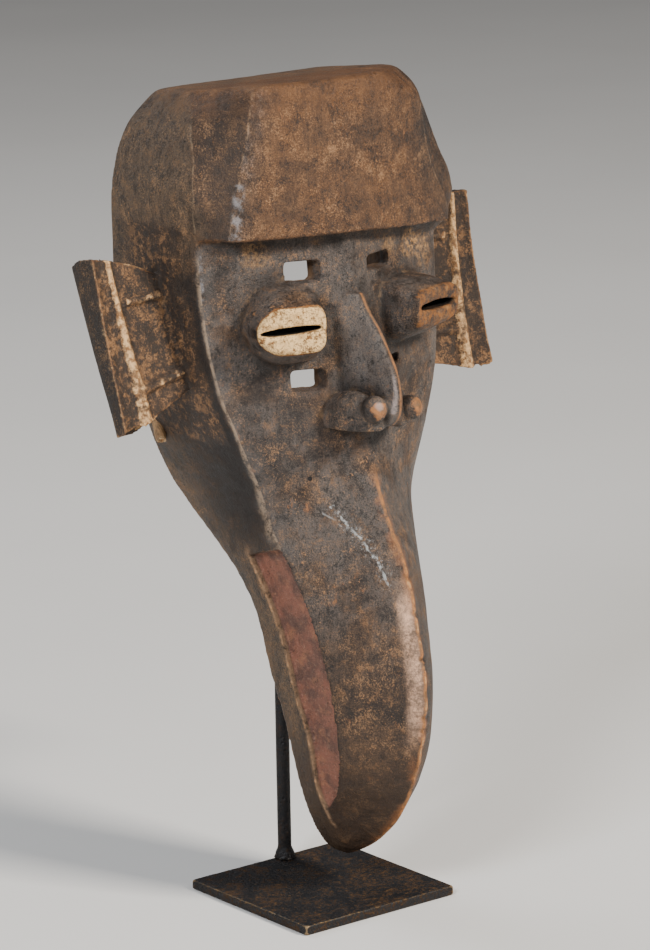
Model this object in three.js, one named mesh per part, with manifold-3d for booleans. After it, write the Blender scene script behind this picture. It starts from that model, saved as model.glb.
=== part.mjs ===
// A carved wooden bird-beaked mask on its iron display stand.
// Millimetres, +Z up. The mask looks along -Y and +X is its own left.
// The origin is the middle of the base plate's underside.
import * as THREE from "three";
import { mergeVertices } from "three/addons/utils/BufferGeometryUtils.js";
import Module from "manifold-3d";

const wasm = await Module();
wasm.setup();

// Driving dimensions of the stand
const PLATE_SIDE = 90;
const PLATE_THICKNESS = 5;
const PLATE_CHAMFER = 0.8;
const GAP = 0.3; // clearance that touching pieces keep
const ROD_X = 9;
const ROD_Y = 41;
const ROD_RADIUS = 3.4;
const ROD_TOP = 369;
const ROD_SIDES = 16;
const ROD_CAP = { radius: 7, height: 3, chamfer: 1 };
const WELD = { radius: 5.6, waist: 4.8, height: 6 };
const STRUT = { z: 212, radius: 2.6, tipY: -15.5, sides: 12 };
const STRUT_PAD = { radius: 6, thickness: 2.4, sides: 14 };

// Driving dimensions of the mask. x is measured outwards from its middle plane.
const MIDDLE_X = 10;
const TIP_Z = 20.6;
const FACE_TOP_Z = 342; // inside the forehead block
const TOP_Z = 401; // before the crown is cut
const BROW_LOW_Z = 319;
const BROW_EDGE_Z = 326;
const BROW_FALL = 0.11; // fall of the brow line for each millimetre towards the mask's left
const BROW_FALL_TOP_Z = 385; // the fall fades out up to this height

// Flat cuts of the crown: a point of each and its rise for each millimetre along x and y
const CROWN_CUTS = [
  { x: 0, y: -15.7, z: 397.6, alongX: -0.01, alongY: -0.13 },
  { x: 19, y: -15.7, z: 397.1, alongX: -0.63, alongY: 0.61 },
];
const CROWN_CUTTER = { side: 260, height: 60 };
const ROW_STEP = 8;

// Outlines of the mask, each as [height, value]
const KEEL_Y = [
  [20, -9.6], [23, -16], [27, -23.5], [33, -32.6], [47, -47.4], [64, -57.6], [80, -64],
  [95, -67.7], [111, -69.6], [129, -67], [147, -62.6], [164, -58.1], [177, -52.2],
  [192, -41.8], [212, -33.4], [228, -29.8], [265, -24], [300, -18.8], [345, -14],
];
const EDGE_X = [
  [20, 2], [23, 5.6], [27, 9.6], [35, 14.2], [47, 21], [62, 25.2], [84, 28.2], [108, 30.2],
  [139, 33.7], [165, 37.6], [178, 40.5], [194, 43.1], [209, 48.1], [222, 53.3], [239, 59.7],
  [254, 64.5], [282, 68.6], [345, 71],
];
const EDGE_Y = [
  [20, -9.4], [23, -13], [27, -17], [35, -20.2], [47, -20], [54, -25], [62, -31.4], [84, -36.7],
  [108, -34.8], [139, -27.9], [165, -17.4], [178, -11.3], [194, -6.6], [222, -4.7], [239, -2.7],
  [264, 1.9], [302, 6.6], [345, 9],
];
const RIM_X = [
  [20, 2], [23, 8], [27, 12.4], [36, 18], [51, 23], [65, 26], [87, 28.6], [113, 31], [139, 33],
  [159, 35.5], [178, 39], [190, 42], [201, 47], [224, 56], [262, 68], [300, 75], [345, 75],
];
const RIM_Y = [
  [20, -9], [23, -8], [27, -6.2], [36, -5.2], [51, -3.5], [65, -1.6], [87, 2.5], [113, 10.6],
  [139, 17.5], [159, 29.1], [169, 39.2], [178, 48.7], [190, 60.1], [201, 64.8], [224, 67.8],
  [345, 68],
];
const FRONT_BULGE = [[20, 0.4], [47, 1.4], [95, 1.7], [140, 1.6], [178, 1.6], [215, 1.5], [345, 1.3]];
const SIDE_BULGE = [[20, 0.2], [90, 1], [150, 1.4], [200, 2.2], [245, 4.4], [275, 4], [310, 2.4],
  [345, 2]];
const SIDE_BULGE_SHARE = 0.08; // most that a side swells for its own depth

// Outlines of the forehead block above the brow
const BROW_MIDDLE_Y = [[326, -24.6], [350, -22.4], [375, -19.4], [402, -15]];
const RIDGE_X = [[326, 61], [402, 46]];
const RIDGE_Y = [[326, -5], [402, -9.2]];
const TEMPLE_X = [[326, 75.2], [336, 75.2], [347, 74.4], [357, 72.4], [368, 69.8], [377, 67.2],
  [385, 64], [392, 57.5], [402, 47]];
const TEMPLE_Y = [[326, 2], [336, 2.4], [347, 4.2], [357, 6.9], [368, 10.6], [377, 14],
  [385, 18.6], [392, 29], [402, 40]];
const HEAD_RIM_X = [[319, 75.3], [330, 75.5], [345, 74.3], [361, 70.6], [372, 66.2], [380, 58.5],
  [386, 50], [402, 34]];
const FOREHEAD_BULGE = 3.2;
const HEAD_SIDE_BULGE = 2;
const TEMPLE_FLARE_Z = 352; // up to here the temple widens out of the cheek
const TEMPLE_FLARE_START = 3;
const TEMPLE_BULGE = 0.5;
const BROW_SINK = 1.5; // how deep the lowest ring of the forehead lies inside the face

// Hollow behind the face, open at the back
const HOLLOW_ROW_STEP = 10;
const HOLLOW_FLOOR_Z = 141;
const HOLLOW_TOP_Z = 381;
const HOLLOW_BACK_Y = 90;
const HOLLOW_FRONT_BULGE = 2.5;
const HOLLOW_SIDE_BULGE = 1;
const HOLLOW_SIDE_LEAST = 2;
const HOLLOW_FRONT_Y = [[141, 16], [148, 5], [165, -12], [180, -21], [200, -23], [228, -18],
  [265, -12.5], [300, -7.4], [320, -6.4], [335, -9], [352, -8], [368, -3], [377, 5], [381, 14]];
const HOLLOW_EDGE_X = [[141, 9], [148, 15], [165, 24], [180, 28.5], [200, 34.5], [222, 41.5],
  [254, 52.5], [282, 57], [320, 59.5], [345, 61], [362, 57], [372, 51], [381, 38]];
const HOLLOW_EDGE_Y = [[141, 19], [148, 14], [165, 3], [180, 1], [200, 4], [222, 5.4],
  [254, 9.5], [282, 13.5], [320, 16], [345, 15], [362, 18], [372, 24], [381, 34]];
const HOLLOW_RIM_X = [[141, 10], [148, 16], [165, 25.5], [180, 29.5], [200, 36], [224, 46],
  [262, 57], [300, 63], [345, 62.5], [361, 58], [372, 52], [381, 40]];

// Mouth: one shallow recess on each side of the beak
const MOUTH_LOW_Z = 45.5;
const MOUTH_FRONT_TOP_Z = 178.4;
const MOUTH_BACK_TOP_Z = 170.3;
const MOUTH_BACK_Y = [[43, -19.6], [52, -18.6], [62, -17.2], [77, -16.8], [89, -14.7], [103, -9.5],
  [129, -3.3], [145, 2.6], [159, 8.6], [171, 14.6]];
const MOUTH_FRONT_DEPTH = 5;
const MOUTH_BACK_DEPTH = 2.4;
const MOUTH_FADE = 0.11; // share of its height over which the recess sinks in from its low end
const MOUTH_ROWS = 16;
const MOUTH_CUTTER_REACH = 12;

// Nose: a wedge that narrows to a fin between two nostrils, each a long lobe with a ball in front
const NOSE_LOW_Z = 237;
const NOSE_TOP_Z = 296.5;
const NOSE_ROW_STEP = 5;
const NOSE_Y = [[237, -45.5], [240, -48.8], [244, -51.2], [250, -52], [257, -51.4], [265, -48.6],
  [272, -43.8], [282, -36], [288, -29.6], [296.5, -23.6]];
const NOSE_HALF_WIDTH = [[237, 8.5], [247, 9.4], [254, 10.4], [264, 11.4], [280, 12], [292, 11.6],
  [296.5, 11]];
const NOSE_SKIRT = { wedge: 5, fin: 1 }; // how much wider than its half width it is at the root
const NOSE_RIDGE = { wedge: [2.2, 0.8], fin: [3, 1.2] }; // corner beside the ridge: [out, back]
const NOSE_WAIST = { wedge: [0.5, 0.4], fin: [0.46, 0.5] }; // shares of the width and the depth
const NOSE_HIP = 0.86; // share of the depth at the full half width
const NOSE_FIN_TOP_Z = 256;
const NOSE_FIN_FADE = 8;
const NOSE_BACK_Y = 4;
const NOSE_SINK = 1.5;
const NOSTRILS = {
  right: { x: 9.5, y: -45, z: 246.6, radii: [5.8, 6.2, 6.6], turn: 0, flat: 0.85 },
  left: { x: 12, y: -44.5, z: 243.8, radii: [5.6, 6.2, 6.2], turn: 0, flat: 0.85 },
};
const WING = { x: 11.8, y: -31.5, z: 238.1, radii: [7.6, 16, 15.5], turn: 26, flat: 0.15 };
const LOBE_SIDES = 18;
const LOBE_ROWS = 12;

// Eye pads: each stands out squarely from its half of the face, its two lids parted by a slit
const EYE_TURN = THREE.MathUtils.degToRad(18.5);
const EYE_CENTRE = { x: 43.6, y: -28.4, z: 285.4 };
const EYE_BASE = {
  right: { halfWidth: 18.5, up: 20, down: 22 },
  left: { halfWidth: 18.2, up: 13.5, down: 20 },
};
const EYE_FRONT = {
  right: { halfWidth: 17, up: 11.4, down: 11.6 },
  left: { halfWidth: 17.8, up: 9.4, down: 9.8 },
};
const EYE_LEVELS = [ // grow is 1 at the base and 0 at the front
  { depth: 30, grow: 1 }, { depth: 12, grow: 0.55 }, { depth: 3.4, grow: 0.06 },
  { depth: 1.5, grow: -0.03 }, { depth: 0.4, grow: -0.14 }, { depth: 0, grow: -0.3 },
];
const EYE_STEPS = 28;
const PAD_BLUNTNESS = { // 0 is square and 1 is an ellipse
  right: { inner: 0.42, outer: 1 },
  left: { inner: 0.42, outer: 0.55 },
};
const SLIT_HALF_HEIGHT = 1.3;
const SLIT_END_HALF_HEIGHT = 0.5;
const SLIT_UP = 0.4;
const SLIT_TILT = 0.043; // the inner end is higher
const SLIT_LEVELS = [
  { depth: -8, halfWidth: 18.2, flare: 2.8 }, { depth: 0, halfWidth: 17.6, flare: 1.3 },
  { depth: 1.6, halfWidth: 16.6, flare: 1 }, { depth: 46, halfWidth: 13, flare: 1 },
];
const SLIT_STEPS = 8;
const SLIT_LEAN = 0.1; // how far the slit runs inwards for each millimetre of depth

// Square eyeholes above and below the pads; x is measured towards the mask's left.
// slant is how far the wall nearest the nose leans outwards for each millimetre of depth.
const EYEHOLES = [
  { x: -23.2, z: 307.9, halfWidth: 8.4, halfHeight: 5, slant: 0.36 },
  { x: 20.6, z: 307.5, halfWidth: 8.6, halfHeight: 3.5, slant: 0 },
  { x: -24.9, z: 257.8, halfWidth: 7.8, halfHeight: 4.8, slant: 0.3 },
  { x: 23, z: 260.2, halfWidth: 7.4, halfHeight: 2.6, slant: 0 },
];
const HOLE_START_Y = -34;
const HOLE_MOUTH_Y = -6;
const HOLE_END_Y = 30;

// Ears: a board that leans forwards going down, with two cross ribs and a thick outer rim
// whose front is a bead, a channel and a sharp outer edge.
// front is [height, y] of the rim's outer front edge; top and bottom are [distance out, height];
// backFall is how far the rim's back edge lies below its front edge.
const EARS = [
  {
    side: -1,
    front: [[236, 9.6], [242, 10.5], [280, 22], [317, 32], [325, 34]],
    bottom: [[56, 260], [77.6, 251], [95, 243.6], [112, 241]],
    top: [[56, 299], [75.4, 308.3], [84, 312.8], [99.5, 317.4], [112, 320]],
    backFall: { bottom: 4, top: 5.8 },
    ribs: [{ rootZ: 299.4, outerZ: 298.4 }, { rootZ: 267, outerZ: 258.6 }],
  },
  {
    side: 1,
    front: [[236, 12.6], [241, 13.9], [252, 17.6], [272, 22.9], [295, 28.1], [323, 32.4]],
    bottom: [[56, 247.5], [79, 243.6], [106, 238], [112, 239.6]],
    top: [[56, 309], [75.4, 316], [99.5, 322.6], [112, 323]],
    backFall: { bottom: 0, top: 5 },
    ribs: [{ rootZ: 304, outerZ: 303 }, { rootZ: 259.4, outerZ: 258.4 }],
  },
];
const EAR_OUTER_X = 112;
const EAR_RIM_INNER_X = { bottom: 93.2, top: 101 };
const EAR_GROOVE_X = { bottom: 101.4, top: 104.8 };
const EAR_RIM_DEPTH = { bottom: 7.4, top: 18 };
const EAR_BOARD_SET_BACK = { bottom: 3, top: 2.6 };
const EAR_BOARD_THICKNESS = { bottom: 6, top: 8 };
const EAR_BOARD_X = [56, 66, 77, 86];
const EAR_BEAD_EASE = { width: 1.6, depth: 1.4 };
const EAR_EDGE_EASE = { width: 1.2, depth: 0.7 };
const EAR_GROOVE_HALF_WIDTH = 1.8;
const EAR_GROOVE_DEPTH = 2.8;
const EAR_GROOVE_OVERRUN = 0.08;
const EAR_CHANNEL_EDGE = 1.4; // what is left between the channel and the rim's outer face
const EAR_CUTTER_REACH = 6;
const EAR_RIB_HALF_HEIGHT = 2;
const EAR_RIB_PROUD = 2.2;
const EAR_RIB_PROFILE = [[-1, 0.5], [-0.5, 0], [0.5, 0], [1, 0.5], [1, 4], [-1, 4]]; // [up, back]
const EAR_RIB_OVERLAP = 3;
const EAR_BACK_BEND = 0.6;
const EAR_ROWS = 6;
const NO_SHIFT = { bottom: 0, top: 0 };

// Peg through the rim under the mask's right ear
const PEG_START = { x: -54, y: 67, z: 239 };
const PEG_END = { x: -61.6, y: 51, z: 222 };
const PEG_RADIUS = 2.9;
const PEG_SIDES = 12;
const PEG_HOLE_OVERRUN = 0.06;

// Colours
const WOOD = new THREE.MeshStandardMaterial({ color: 0x3b2a1d, roughness: 0.55, metalness: 0 });
const PEG_WOOD = new THREE.MeshStandardMaterial({ color: 0xa47a4c, roughness: 0.75, metalness: 0 });
const IRON = new THREE.MeshStandardMaterial({ color: 0x1b1c20, roughness: 0.5, metalness: 0.85 });
const BLACKENED = new THREE.MeshStandardMaterial({ color: 0x1f1b16, roughness: 0.6, metalness: 0.6 });

// Smooth curve through [height, value] stations that never overshoots them.
function along(stations) {
  const last = stations.length - 1;
  const slopes = [];
  for (let i = 0; i < last; i += 1) {
    slopes.push((stations[i + 1][1] - stations[i][1]) / (stations[i + 1][0] - stations[i][0]));
  }
  const tangents = stations.map((station, i) => {
    if (i === 0) return slopes[0];
    if (i === last) return slopes[last - 1];
    if (slopes[i - 1] * slopes[i] <= 0) return 0;
    return (2 * slopes[i - 1] * slopes[i]) / (slopes[i - 1] + slopes[i]);
  });
  return (height) => {
    const z = Math.min(Math.max(height, stations[0][0]), stations[last][0]);
    let i = 0;
    while (i < last - 1 && z > stations[i + 1][0]) i += 1;
    const span = stations[i + 1][0] - stations[i][0];
    const t = (z - stations[i][0]) / span;
    const rise = stations[i + 1][1] - stations[i][1];
    const start = tangents[i] * span;
    const end = tangents[i + 1] * span;
    return stations[i][1] + start * t + (3 * rise - 2 * start - end) * t * t
      + (start + end - 2 * rise) * t * t * t;
  };
}

const keelY = along(KEEL_Y);
const edgeX = along(EDGE_X);
const edgeY = along(EDGE_Y);
const rimX = along(RIM_X);
const rimY = along(RIM_Y);
const frontBulge = along(FRONT_BULGE);
const sideBulge = along(SIDE_BULGE);
const browMiddleY = along(BROW_MIDDLE_Y);
const ridgeX = along(RIDGE_X);
const ridgeY = along(RIDGE_Y);
const templeX = along(TEMPLE_X);
const templeY = along(TEMPLE_Y);
const headRimX = along(HEAD_RIM_X);
const hollowFrontY = along(HOLLOW_FRONT_Y);
const hollowEdgeX = along(HOLLOW_EDGE_X);
const hollowEdgeY = along(HOLLOW_EDGE_Y);
const hollowRimX = along(HOLLOW_RIM_X);
const mouthBackY = along(MOUTH_BACK_Y);
const noseY = along(NOSE_Y);
const noseHalfWidth = along(NOSE_HALF_WIDTH);

// Closed solid from rings of equal length, each a list of [x, y, z]; each end fans round its middle.
function loft(rings) {
  const count = rings[0].length;
  const positions = rings.flat(2);
  const faces = [];
  for (let row = 0; row < rings.length - 1; row += 1) {
    for (let i = 0; i < count; i += 1) {
      const a = row * count + i;
      const b = row * count + ((i + 1) % count);
      faces.push([a, b, b + count], [a, b + count, a + count]);
    }
  }
  [0, rings.length - 1].forEach((row) => {
    const middle = [0, 1, 2].map((axis) => {
      return rings[row].reduce((sum, point) => sum + point[axis], 0) / count;
    });
    const hub = positions.length / 3;
    positions.push(...middle);
    for (let i = 0; i < count; i += 1) {
      const a = row * count + i;
      const b = row * count + ((i + 1) % count);
      faces.push(row === 0 ? [b, a, hub] : [a, b, hub]);
    }
  });
  return solidFrom(positions, faces.flat());
}

// Manifold solid from flat position and index lists, turned to face outwards.
function solidFrom(positions, indices) {
  const geometry = new THREE.BufferGeometry();
  geometry.setAttribute("position", new THREE.Float32BufferAttribute(positions, 3));
  geometry.setIndex(indices);
  return solidOf(geometry);
}

function solidOf(geometry) {
  const bare = geometry.clone();
  bare.deleteAttribute("normal");
  bare.deleteAttribute("uv");
  const merged = mergeVertices(bare, 1e-4);
  const vertProperties = new Float32Array(merged.attributes.position.array);
  const triVerts = new Uint32Array(merged.index.array);
  const solid = new wasm.Manifold(new wasm.Mesh({ numProp: 3, vertProperties, triVerts }));
  if (solid.volume() >= 0) return solid;
  for (let i = 0; i < triVerts.length; i += 3) {
    [triVerts[i + 1], triVerts[i + 2]] = [triVerts[i + 2], triVerts[i + 1]];
  }
  return new wasm.Manifold(new wasm.Mesh({ numProp: 3, vertProperties, triVerts }));
}

function meshOf(name, solid, material) {
  const result = solid.getMesh();
  const geometry = new THREE.BufferGeometry();
  geometry.setAttribute("position", new THREE.BufferAttribute(new Float32Array(result.vertProperties), 3));
  geometry.setIndex(new THREE.BufferAttribute(new Uint32Array(result.triVerts), 1));
  geometry.computeVertexNormals();
  const mesh = new THREE.Mesh(geometry, material);
  mesh.name = name;
  return mesh;
}

const mix = (a, b, t) => a + (b - a) * t;
const between = (a, b, t) => a.map((value, i) => mix(value, b[i], t));
const handOf = (side) => (side > 0 ? "left" : "right"); // the mask's own hand

// Points from one corner to the next, swelling outwards by bulge at the middle; the end is left off.
function swell(from, to, steps, bulge) {
  const length = Math.hypot(to[0] - from[0], to[1] - from[1]);
  const normal = [(to[1] - from[1]) / length, -(to[0] - from[0]) / length];
  const points = [];
  for (let i = 0; i < steps; i += 1) {
    const t = i / steps;
    const out = 4 * bulge * t * (1 - t);
    points.push([mix(from[0], to[0], t) + normal[0] * out, mix(from[1], to[1], t) + normal[1] * out]);
  }
  return points;
}

// Whole ring at one height from its right half, which runs from the front middle to the back middle.
function mirrored(half, z) {
  const right = half.map(([x, y]) => [MIDDLE_X + x, y, z]);
  const left = half.slice(1, -1).reverse().map(([x, y]) => [MIDDLE_X - x, y, z]);
  return right.concat(left);
}

function heights(low, high, step) {
  const count = Math.ceil((high - low) / step);
  return Array.from({ length: count + 1 }, (unused, i) => mix(low, high, i / count));
}

// Face, cheeks and beak: keel, face edge and rim at each height.
function faceRing(z) {
  const keel = [0, keelY(z)];
  const edge = [edgeX(z), edgeY(z)];
  const rim = [rimX(z), rimY(z)];
  return mirrored([
    ...swell(keel, edge, 5, frontBulge(z)),
    ...swell(edge, rim, 4, Math.min(sideBulge(z), (rim[1] - edge[1]) * SIDE_BULGE_SHARE)),
    ...swell(rim, [0, rim[1]], 2, 0),
    [0, rim[1]],
  ], z);
}

// How far the brow and what is just above it hang lower at a distance x towards the mask's left.
function browFall(x, z) {
  const fade = THREE.MathUtils.smoothstep(BROW_FALL_TOP_Z - z, 0, BROW_FALL_TOP_Z - BROW_EDGE_Z);
  return BROW_FALL * Math.max(x, 0) * fade;
}

// Forehead: middle, ridge, temple and rim; its lowest ring lies inside the face, so the brow slants back.
function headRing(z) {
  const inside = z < BROW_EDGE_Z;
  const height = Math.max(z, BROW_EDGE_Z);
  const flare = THREE.MathUtils.smoothstep(height, BROW_EDGE_Z - TEMPLE_FLARE_START, TEMPLE_FLARE_Z);
  const cheek = [edgeX(height), edgeY(height)];
  const temple = [mix(cheek[0], templeX(height), flare), mix(cheek[1], templeY(height), flare)];
  const ridge = [ridgeX(height), ridgeY(height)];
  const middle = [0, browMiddleY(height)];
  const rim = [mix(rimX(height), headRimX(height), flare), rimY(height)];
  const sink = inside ? BROW_SINK : 0;
  const half = [
    ...swell(middle, ridge, 6, FOREHEAD_BULGE),
    ...swell(ridge, temple, 2, TEMPLE_BULGE),
    ...swell(temple, rim, 5, mix(sideBulge(height), HEAD_SIDE_BULGE, flare)),
    ...swell(rim, [0, rim[1]], 2, 0),
    [0, rim[1]],
  ].map(([x, y]) => [Math.max(x - sink, 0), inside ? Math.max(y, faceY(x, z) + sink) : y]);
  return mirrored(half, z).map(([x, y]) => [x, y, z - browFall(x - MIDDLE_X, z)]);
}

function hollowRing(z) {
  const front = [0, hollowFrontY(z)];
  const edge = [hollowEdgeX(z), hollowEdgeY(z)];
  const rim = [hollowRimX(z), Math.max(rimY(z), edge[1] + HOLLOW_SIDE_LEAST)];
  const back = [hollowRimX(z), HOLLOW_BACK_Y];
  return mirrored([
    ...swell(front, edge, 4, HOLLOW_FRONT_BULGE),
    ...swell(edge, rim, 3, HOLLOW_SIDE_BULGE),
    rim,
    back,
    [0, HOLLOW_BACK_Y],
  ], z);
}

// Slab that cuts the crown flat along a plane through one of its points.
function crownCut({ x, y, z, alongX, alongY }) {
  const slab = new THREE.BoxGeometry(CROWN_CUTTER.side, CROWN_CUTTER.side, CROWN_CUTTER.height);
  slab.translate(0, 0, CROWN_CUTTER.height / 2);
  const normal = new THREE.Vector3(-alongX, -alongY, 1).normalize();
  slab.applyQuaternion(new THREE.Quaternion().setFromUnitVectors(new THREE.Vector3(0, 0, 1), normal));
  slab.translate(MIDDLE_X + x, y, z);
  return solidOf(slab);
}

// Point on the side of the beak at a share of the way from the edge to the rim line.
function sideX(y, z) {
  const share = (y - edgeY(z)) / (rimY(z) - edgeY(z));
  return mix(edgeX(z), rimX(z), share);
}

function mouthCut(side) {
  const rings = [];
  for (let i = 0; i <= MOUTH_ROWS; i += 1) {
    const t = i / MOUTH_ROWS;
    const frontZ = mix(MOUTH_LOW_Z, MOUTH_FRONT_TOP_Z, t);
    const backZ = mix(MOUTH_LOW_Z, MOUTH_BACK_TOP_Z, t);
    const frontY = edgeY(frontZ);
    const backY = Math.max(mouthBackY(backZ), frontY + 0.6);
    const deep = Math.min(1, t / MOUTH_FADE);
    const front = edgeX(frontZ) - MOUTH_FRONT_DEPTH * deep;
    const back = sideX(backY, backZ) - MOUTH_BACK_DEPTH * deep;
    const outer = edgeX(frontZ) + MOUTH_CUTTER_REACH;
    rings.push([
      [MIDDLE_X + side * front, frontY, frontZ],
      [MIDDLE_X + side * back, backY, backZ],
      [MIDDLE_X + side * outer, backY, backZ],
      [MIDDLE_X + side * outer, frontY, frontZ],
    ]);
  }
  return loft(rings);
}

// The face's own surface at a distance x from the middle.
function faceY(x, z) {
  return mix(keelY(z), edgeY(z), Math.min(x / edgeX(z), 1));
}

function noseRing(z) {
  const fin = THREE.MathUtils.smoothstep(NOSE_FIN_TOP_Z - z, 0, NOSE_FIN_FADE);
  const half = noseHalfWidth(z);
  const ridge = noseY(z);
  const skirt = half + mix(NOSE_SKIRT.wedge, NOSE_SKIRT.fin, fin);
  const root = faceY(skirt, z) + NOSE_SINK;
  const reach = root - ridge;
  const [ridgeOut, ridgeBack] = between(NOSE_RIDGE.wedge, NOSE_RIDGE.fin, fin);
  const [waistOut, waistBack] = between(NOSE_WAIST.wedge, NOSE_WAIST.fin, fin);
  return mirrored([
    [0, ridge],
    [ridgeOut, ridge + ridgeBack],
    [half * waistOut, ridge + reach * waistBack],
    [half, ridge + reach * NOSE_HIP],
    [skirt, root],
    [skirt, NOSE_BACK_Y],
    [0, NOSE_BACK_Y],
  ], z);
}

// Long rounded lobe, flat underneath, turned outwards going back.
function lobe(side, { x, y, z, radii, turn, flat }) {
  const ball = new THREE.SphereGeometry(1, LOBE_SIDES, LOBE_ROWS);
  ball.rotateX(Math.PI / 2);
  const points = ball.attributes.position;
  for (let i = 0; i < points.count; i += 1) {
    points.setZ(i, Math.max(points.getZ(i), -flat));
  }
  ball.scale(...radii);
  ball.rotateZ(-side * THREE.MathUtils.degToRad(turn));
  ball.translate(MIDDLE_X + side * x, y, z);
  return solidOf(ball);
}

function nose() {
  let solid = loft(heights(NOSE_LOW_Z, NOSE_TOP_Z, NOSE_ROW_STEP).map(noseRing));
  [-1, 1].forEach((side) => {
    solid = solid.add(lobe(side, WING)).add(lobe(side, NOSTRILS[handOf(side)]));
  });
  return solid;
}

// Places a point of the eye's own frame: outwards across the face, depth back into it.
function eyePoint(side, outwards, depth, up) {
  const x = EYE_CENTRE.x + outwards * Math.cos(EYE_TURN) - depth * Math.sin(EYE_TURN);
  const y = EYE_CENTRE.y + outwards * Math.sin(EYE_TURN) + depth * Math.cos(EYE_TURN);
  return [MIDDLE_X + side * x, y, EYE_CENTRE.z + up];
}

// Outline of an eye pad in its own plane, with its own bluntness at the inner and the outer end.
function padOutline({ halfWidth, up, down }, bluntness) {
  const outline = [];
  for (let i = 0; i < EYE_STEPS; i += 1) {
    const c = Math.cos((2 * Math.PI * i) / EYE_STEPS);
    const s = Math.sin((2 * Math.PI * i) / EYE_STEPS);
    const power = c > 0 ? bluntness.outer : bluntness.inner;
    const tall = s > 0 ? up : down;
    outline.push([
      Math.sign(c) * Math.abs(c) ** power * halfWidth,
      Math.sign(s) * Math.abs(s) ** power * tall,
    ]);
  }
  return outline;
}

function eyePad(side) {
  const hand = handOf(side);
  const front = EYE_FRONT[hand];
  const base = EYE_BASE[hand];
  const rings = EYE_LEVELS.map(({ depth, grow }) => {
    const shape = {
      halfWidth: mix(front.halfWidth, base.halfWidth, grow),
      up: mix(front.up, base.up, grow),
      down: mix(front.down, base.down, grow),
    };
    return padOutline(shape, PAD_BLUNTNESS[hand])
      .map(([out, up]) => eyePoint(side, out, depth, up));
  });
  return loft(rings);
}

// Lens right through the pad and the wall behind it, flaring open towards the front.
function eyeSlit(side) {
  const rings = SLIT_LEVELS.map(({ depth, halfWidth, flare }) => {
    const outline = [];
    for (let i = 0; i < 2 * SLIT_STEPS; i += 1) {
      const lower = i < SLIT_STEPS;
      const t = (i % SLIT_STEPS) / SLIT_STEPS;
      const tall = SLIT_END_HALF_HEIGHT + SLIT_HALF_HEIGHT * 4 * t * (1 - t) * flare;
      outline.push([mix(-halfWidth, halfWidth, lower ? t : 1 - t), lower ? -tall : tall]);
    }
    return outline.map(([out, up]) => {
      const rise = SLIT_UP - SLIT_TILT * out;
      return eyePoint(side, out - depth * SLIT_LEAN, depth, up + rise);
    });
  });
  return loft(rings);
}

function eyehole({ x, z, halfWidth, halfHeight, slant }) {
  const hand = Math.sign(x);
  return loft([HOLE_START_Y, HOLE_MOUTH_Y, HOLE_END_Y].map((y) => {
    const outer = MIDDLE_X + x + hand * halfWidth;
    const inner = MIDDLE_X + x - hand * halfWidth + hand * Math.max(y - HOLE_MOUTH_Y, 0) * slant;
    return [
      [outer, y, z - halfHeight], [inner, y, z - halfHeight],
      [inner, y, z + halfHeight], [outer, y, z + halfHeight],
    ];
  }));
}

// Slab of an ear between upright lines; each line is a distance out at the bottom and top.
function earSlab(ear, lines, setBack, depth, fall) {
  const steps = heights(0, 1, 1 / EAR_ROWS);
  const rings = lines.map((line) => {
    const point = (t, share) => {
      const x = mix(line.bottom, line.top, t);
      const z = mix(ear.bottomZ(x), ear.topZ(x), t);
      const back = mix(setBack.bottom, setBack.top, t) + share * mix(depth.bottom, depth.top, t);
      const eased = line.eased * (1 - share);
      const lower = mix(fall.bottom, fall.top, t) * share ** 2;
      return [MIDDLE_X + ear.side * x, ear.frontY(z) + back + eased, z - lower];
    };
    return [
      ...steps.map((t) => point(t, 0)),
      point(1, EAR_BACK_BEND),
      ...steps.slice().reverse().map((t) => point(t, 1)),
      point(0, EAR_BACK_BEND),
    ];
  });
  return loft(rings);
}

function earRib(ear, { rootZ, outerZ }) {
  const ends = [[EAR_BOARD_X[0], rootZ], [EAR_RIM_INNER_X.bottom + EAR_RIB_OVERLAP, outerZ]];
  return loft(ends.map(([x, z]) => EAR_RIB_PROFILE.map(([up, back]) => {
    const height = z + up * EAR_RIB_HALF_HEIGHT;
    const front = ear.frontY(height) + EAR_BOARD_SET_BACK.top - EAR_RIB_PROUD;
    return [MIDDLE_X + ear.side * x, front + back, height];
  })));
}

// Cutter of the channel between the bead and the rim's outer edge.
function earChannel(ear) {
  return loft(heights(-EAR_GROOVE_OVERRUN, 1 + EAR_GROOVE_OVERRUN, 1 / EAR_ROWS).map((t) => {
    const x = mix(EAR_GROOVE_X.bottom, EAR_GROOVE_X.top, t);
    const z = mix(ear.bottomZ(x), ear.topZ(x), t);
    const y = ear.frontY(z);
    return [
      [MIDDLE_X + ear.side * (x - EAR_GROOVE_HALF_WIDTH), y, z],
      [MIDDLE_X + ear.side * x, y + EAR_GROOVE_DEPTH, z],
      [MIDDLE_X + ear.side * (EAR_OUTER_X - EAR_CHANNEL_EDGE), y, z],
      [MIDDLE_X + ear.side * x, y - EAR_CUTTER_REACH, z],
    ];
  }));
}

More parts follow.
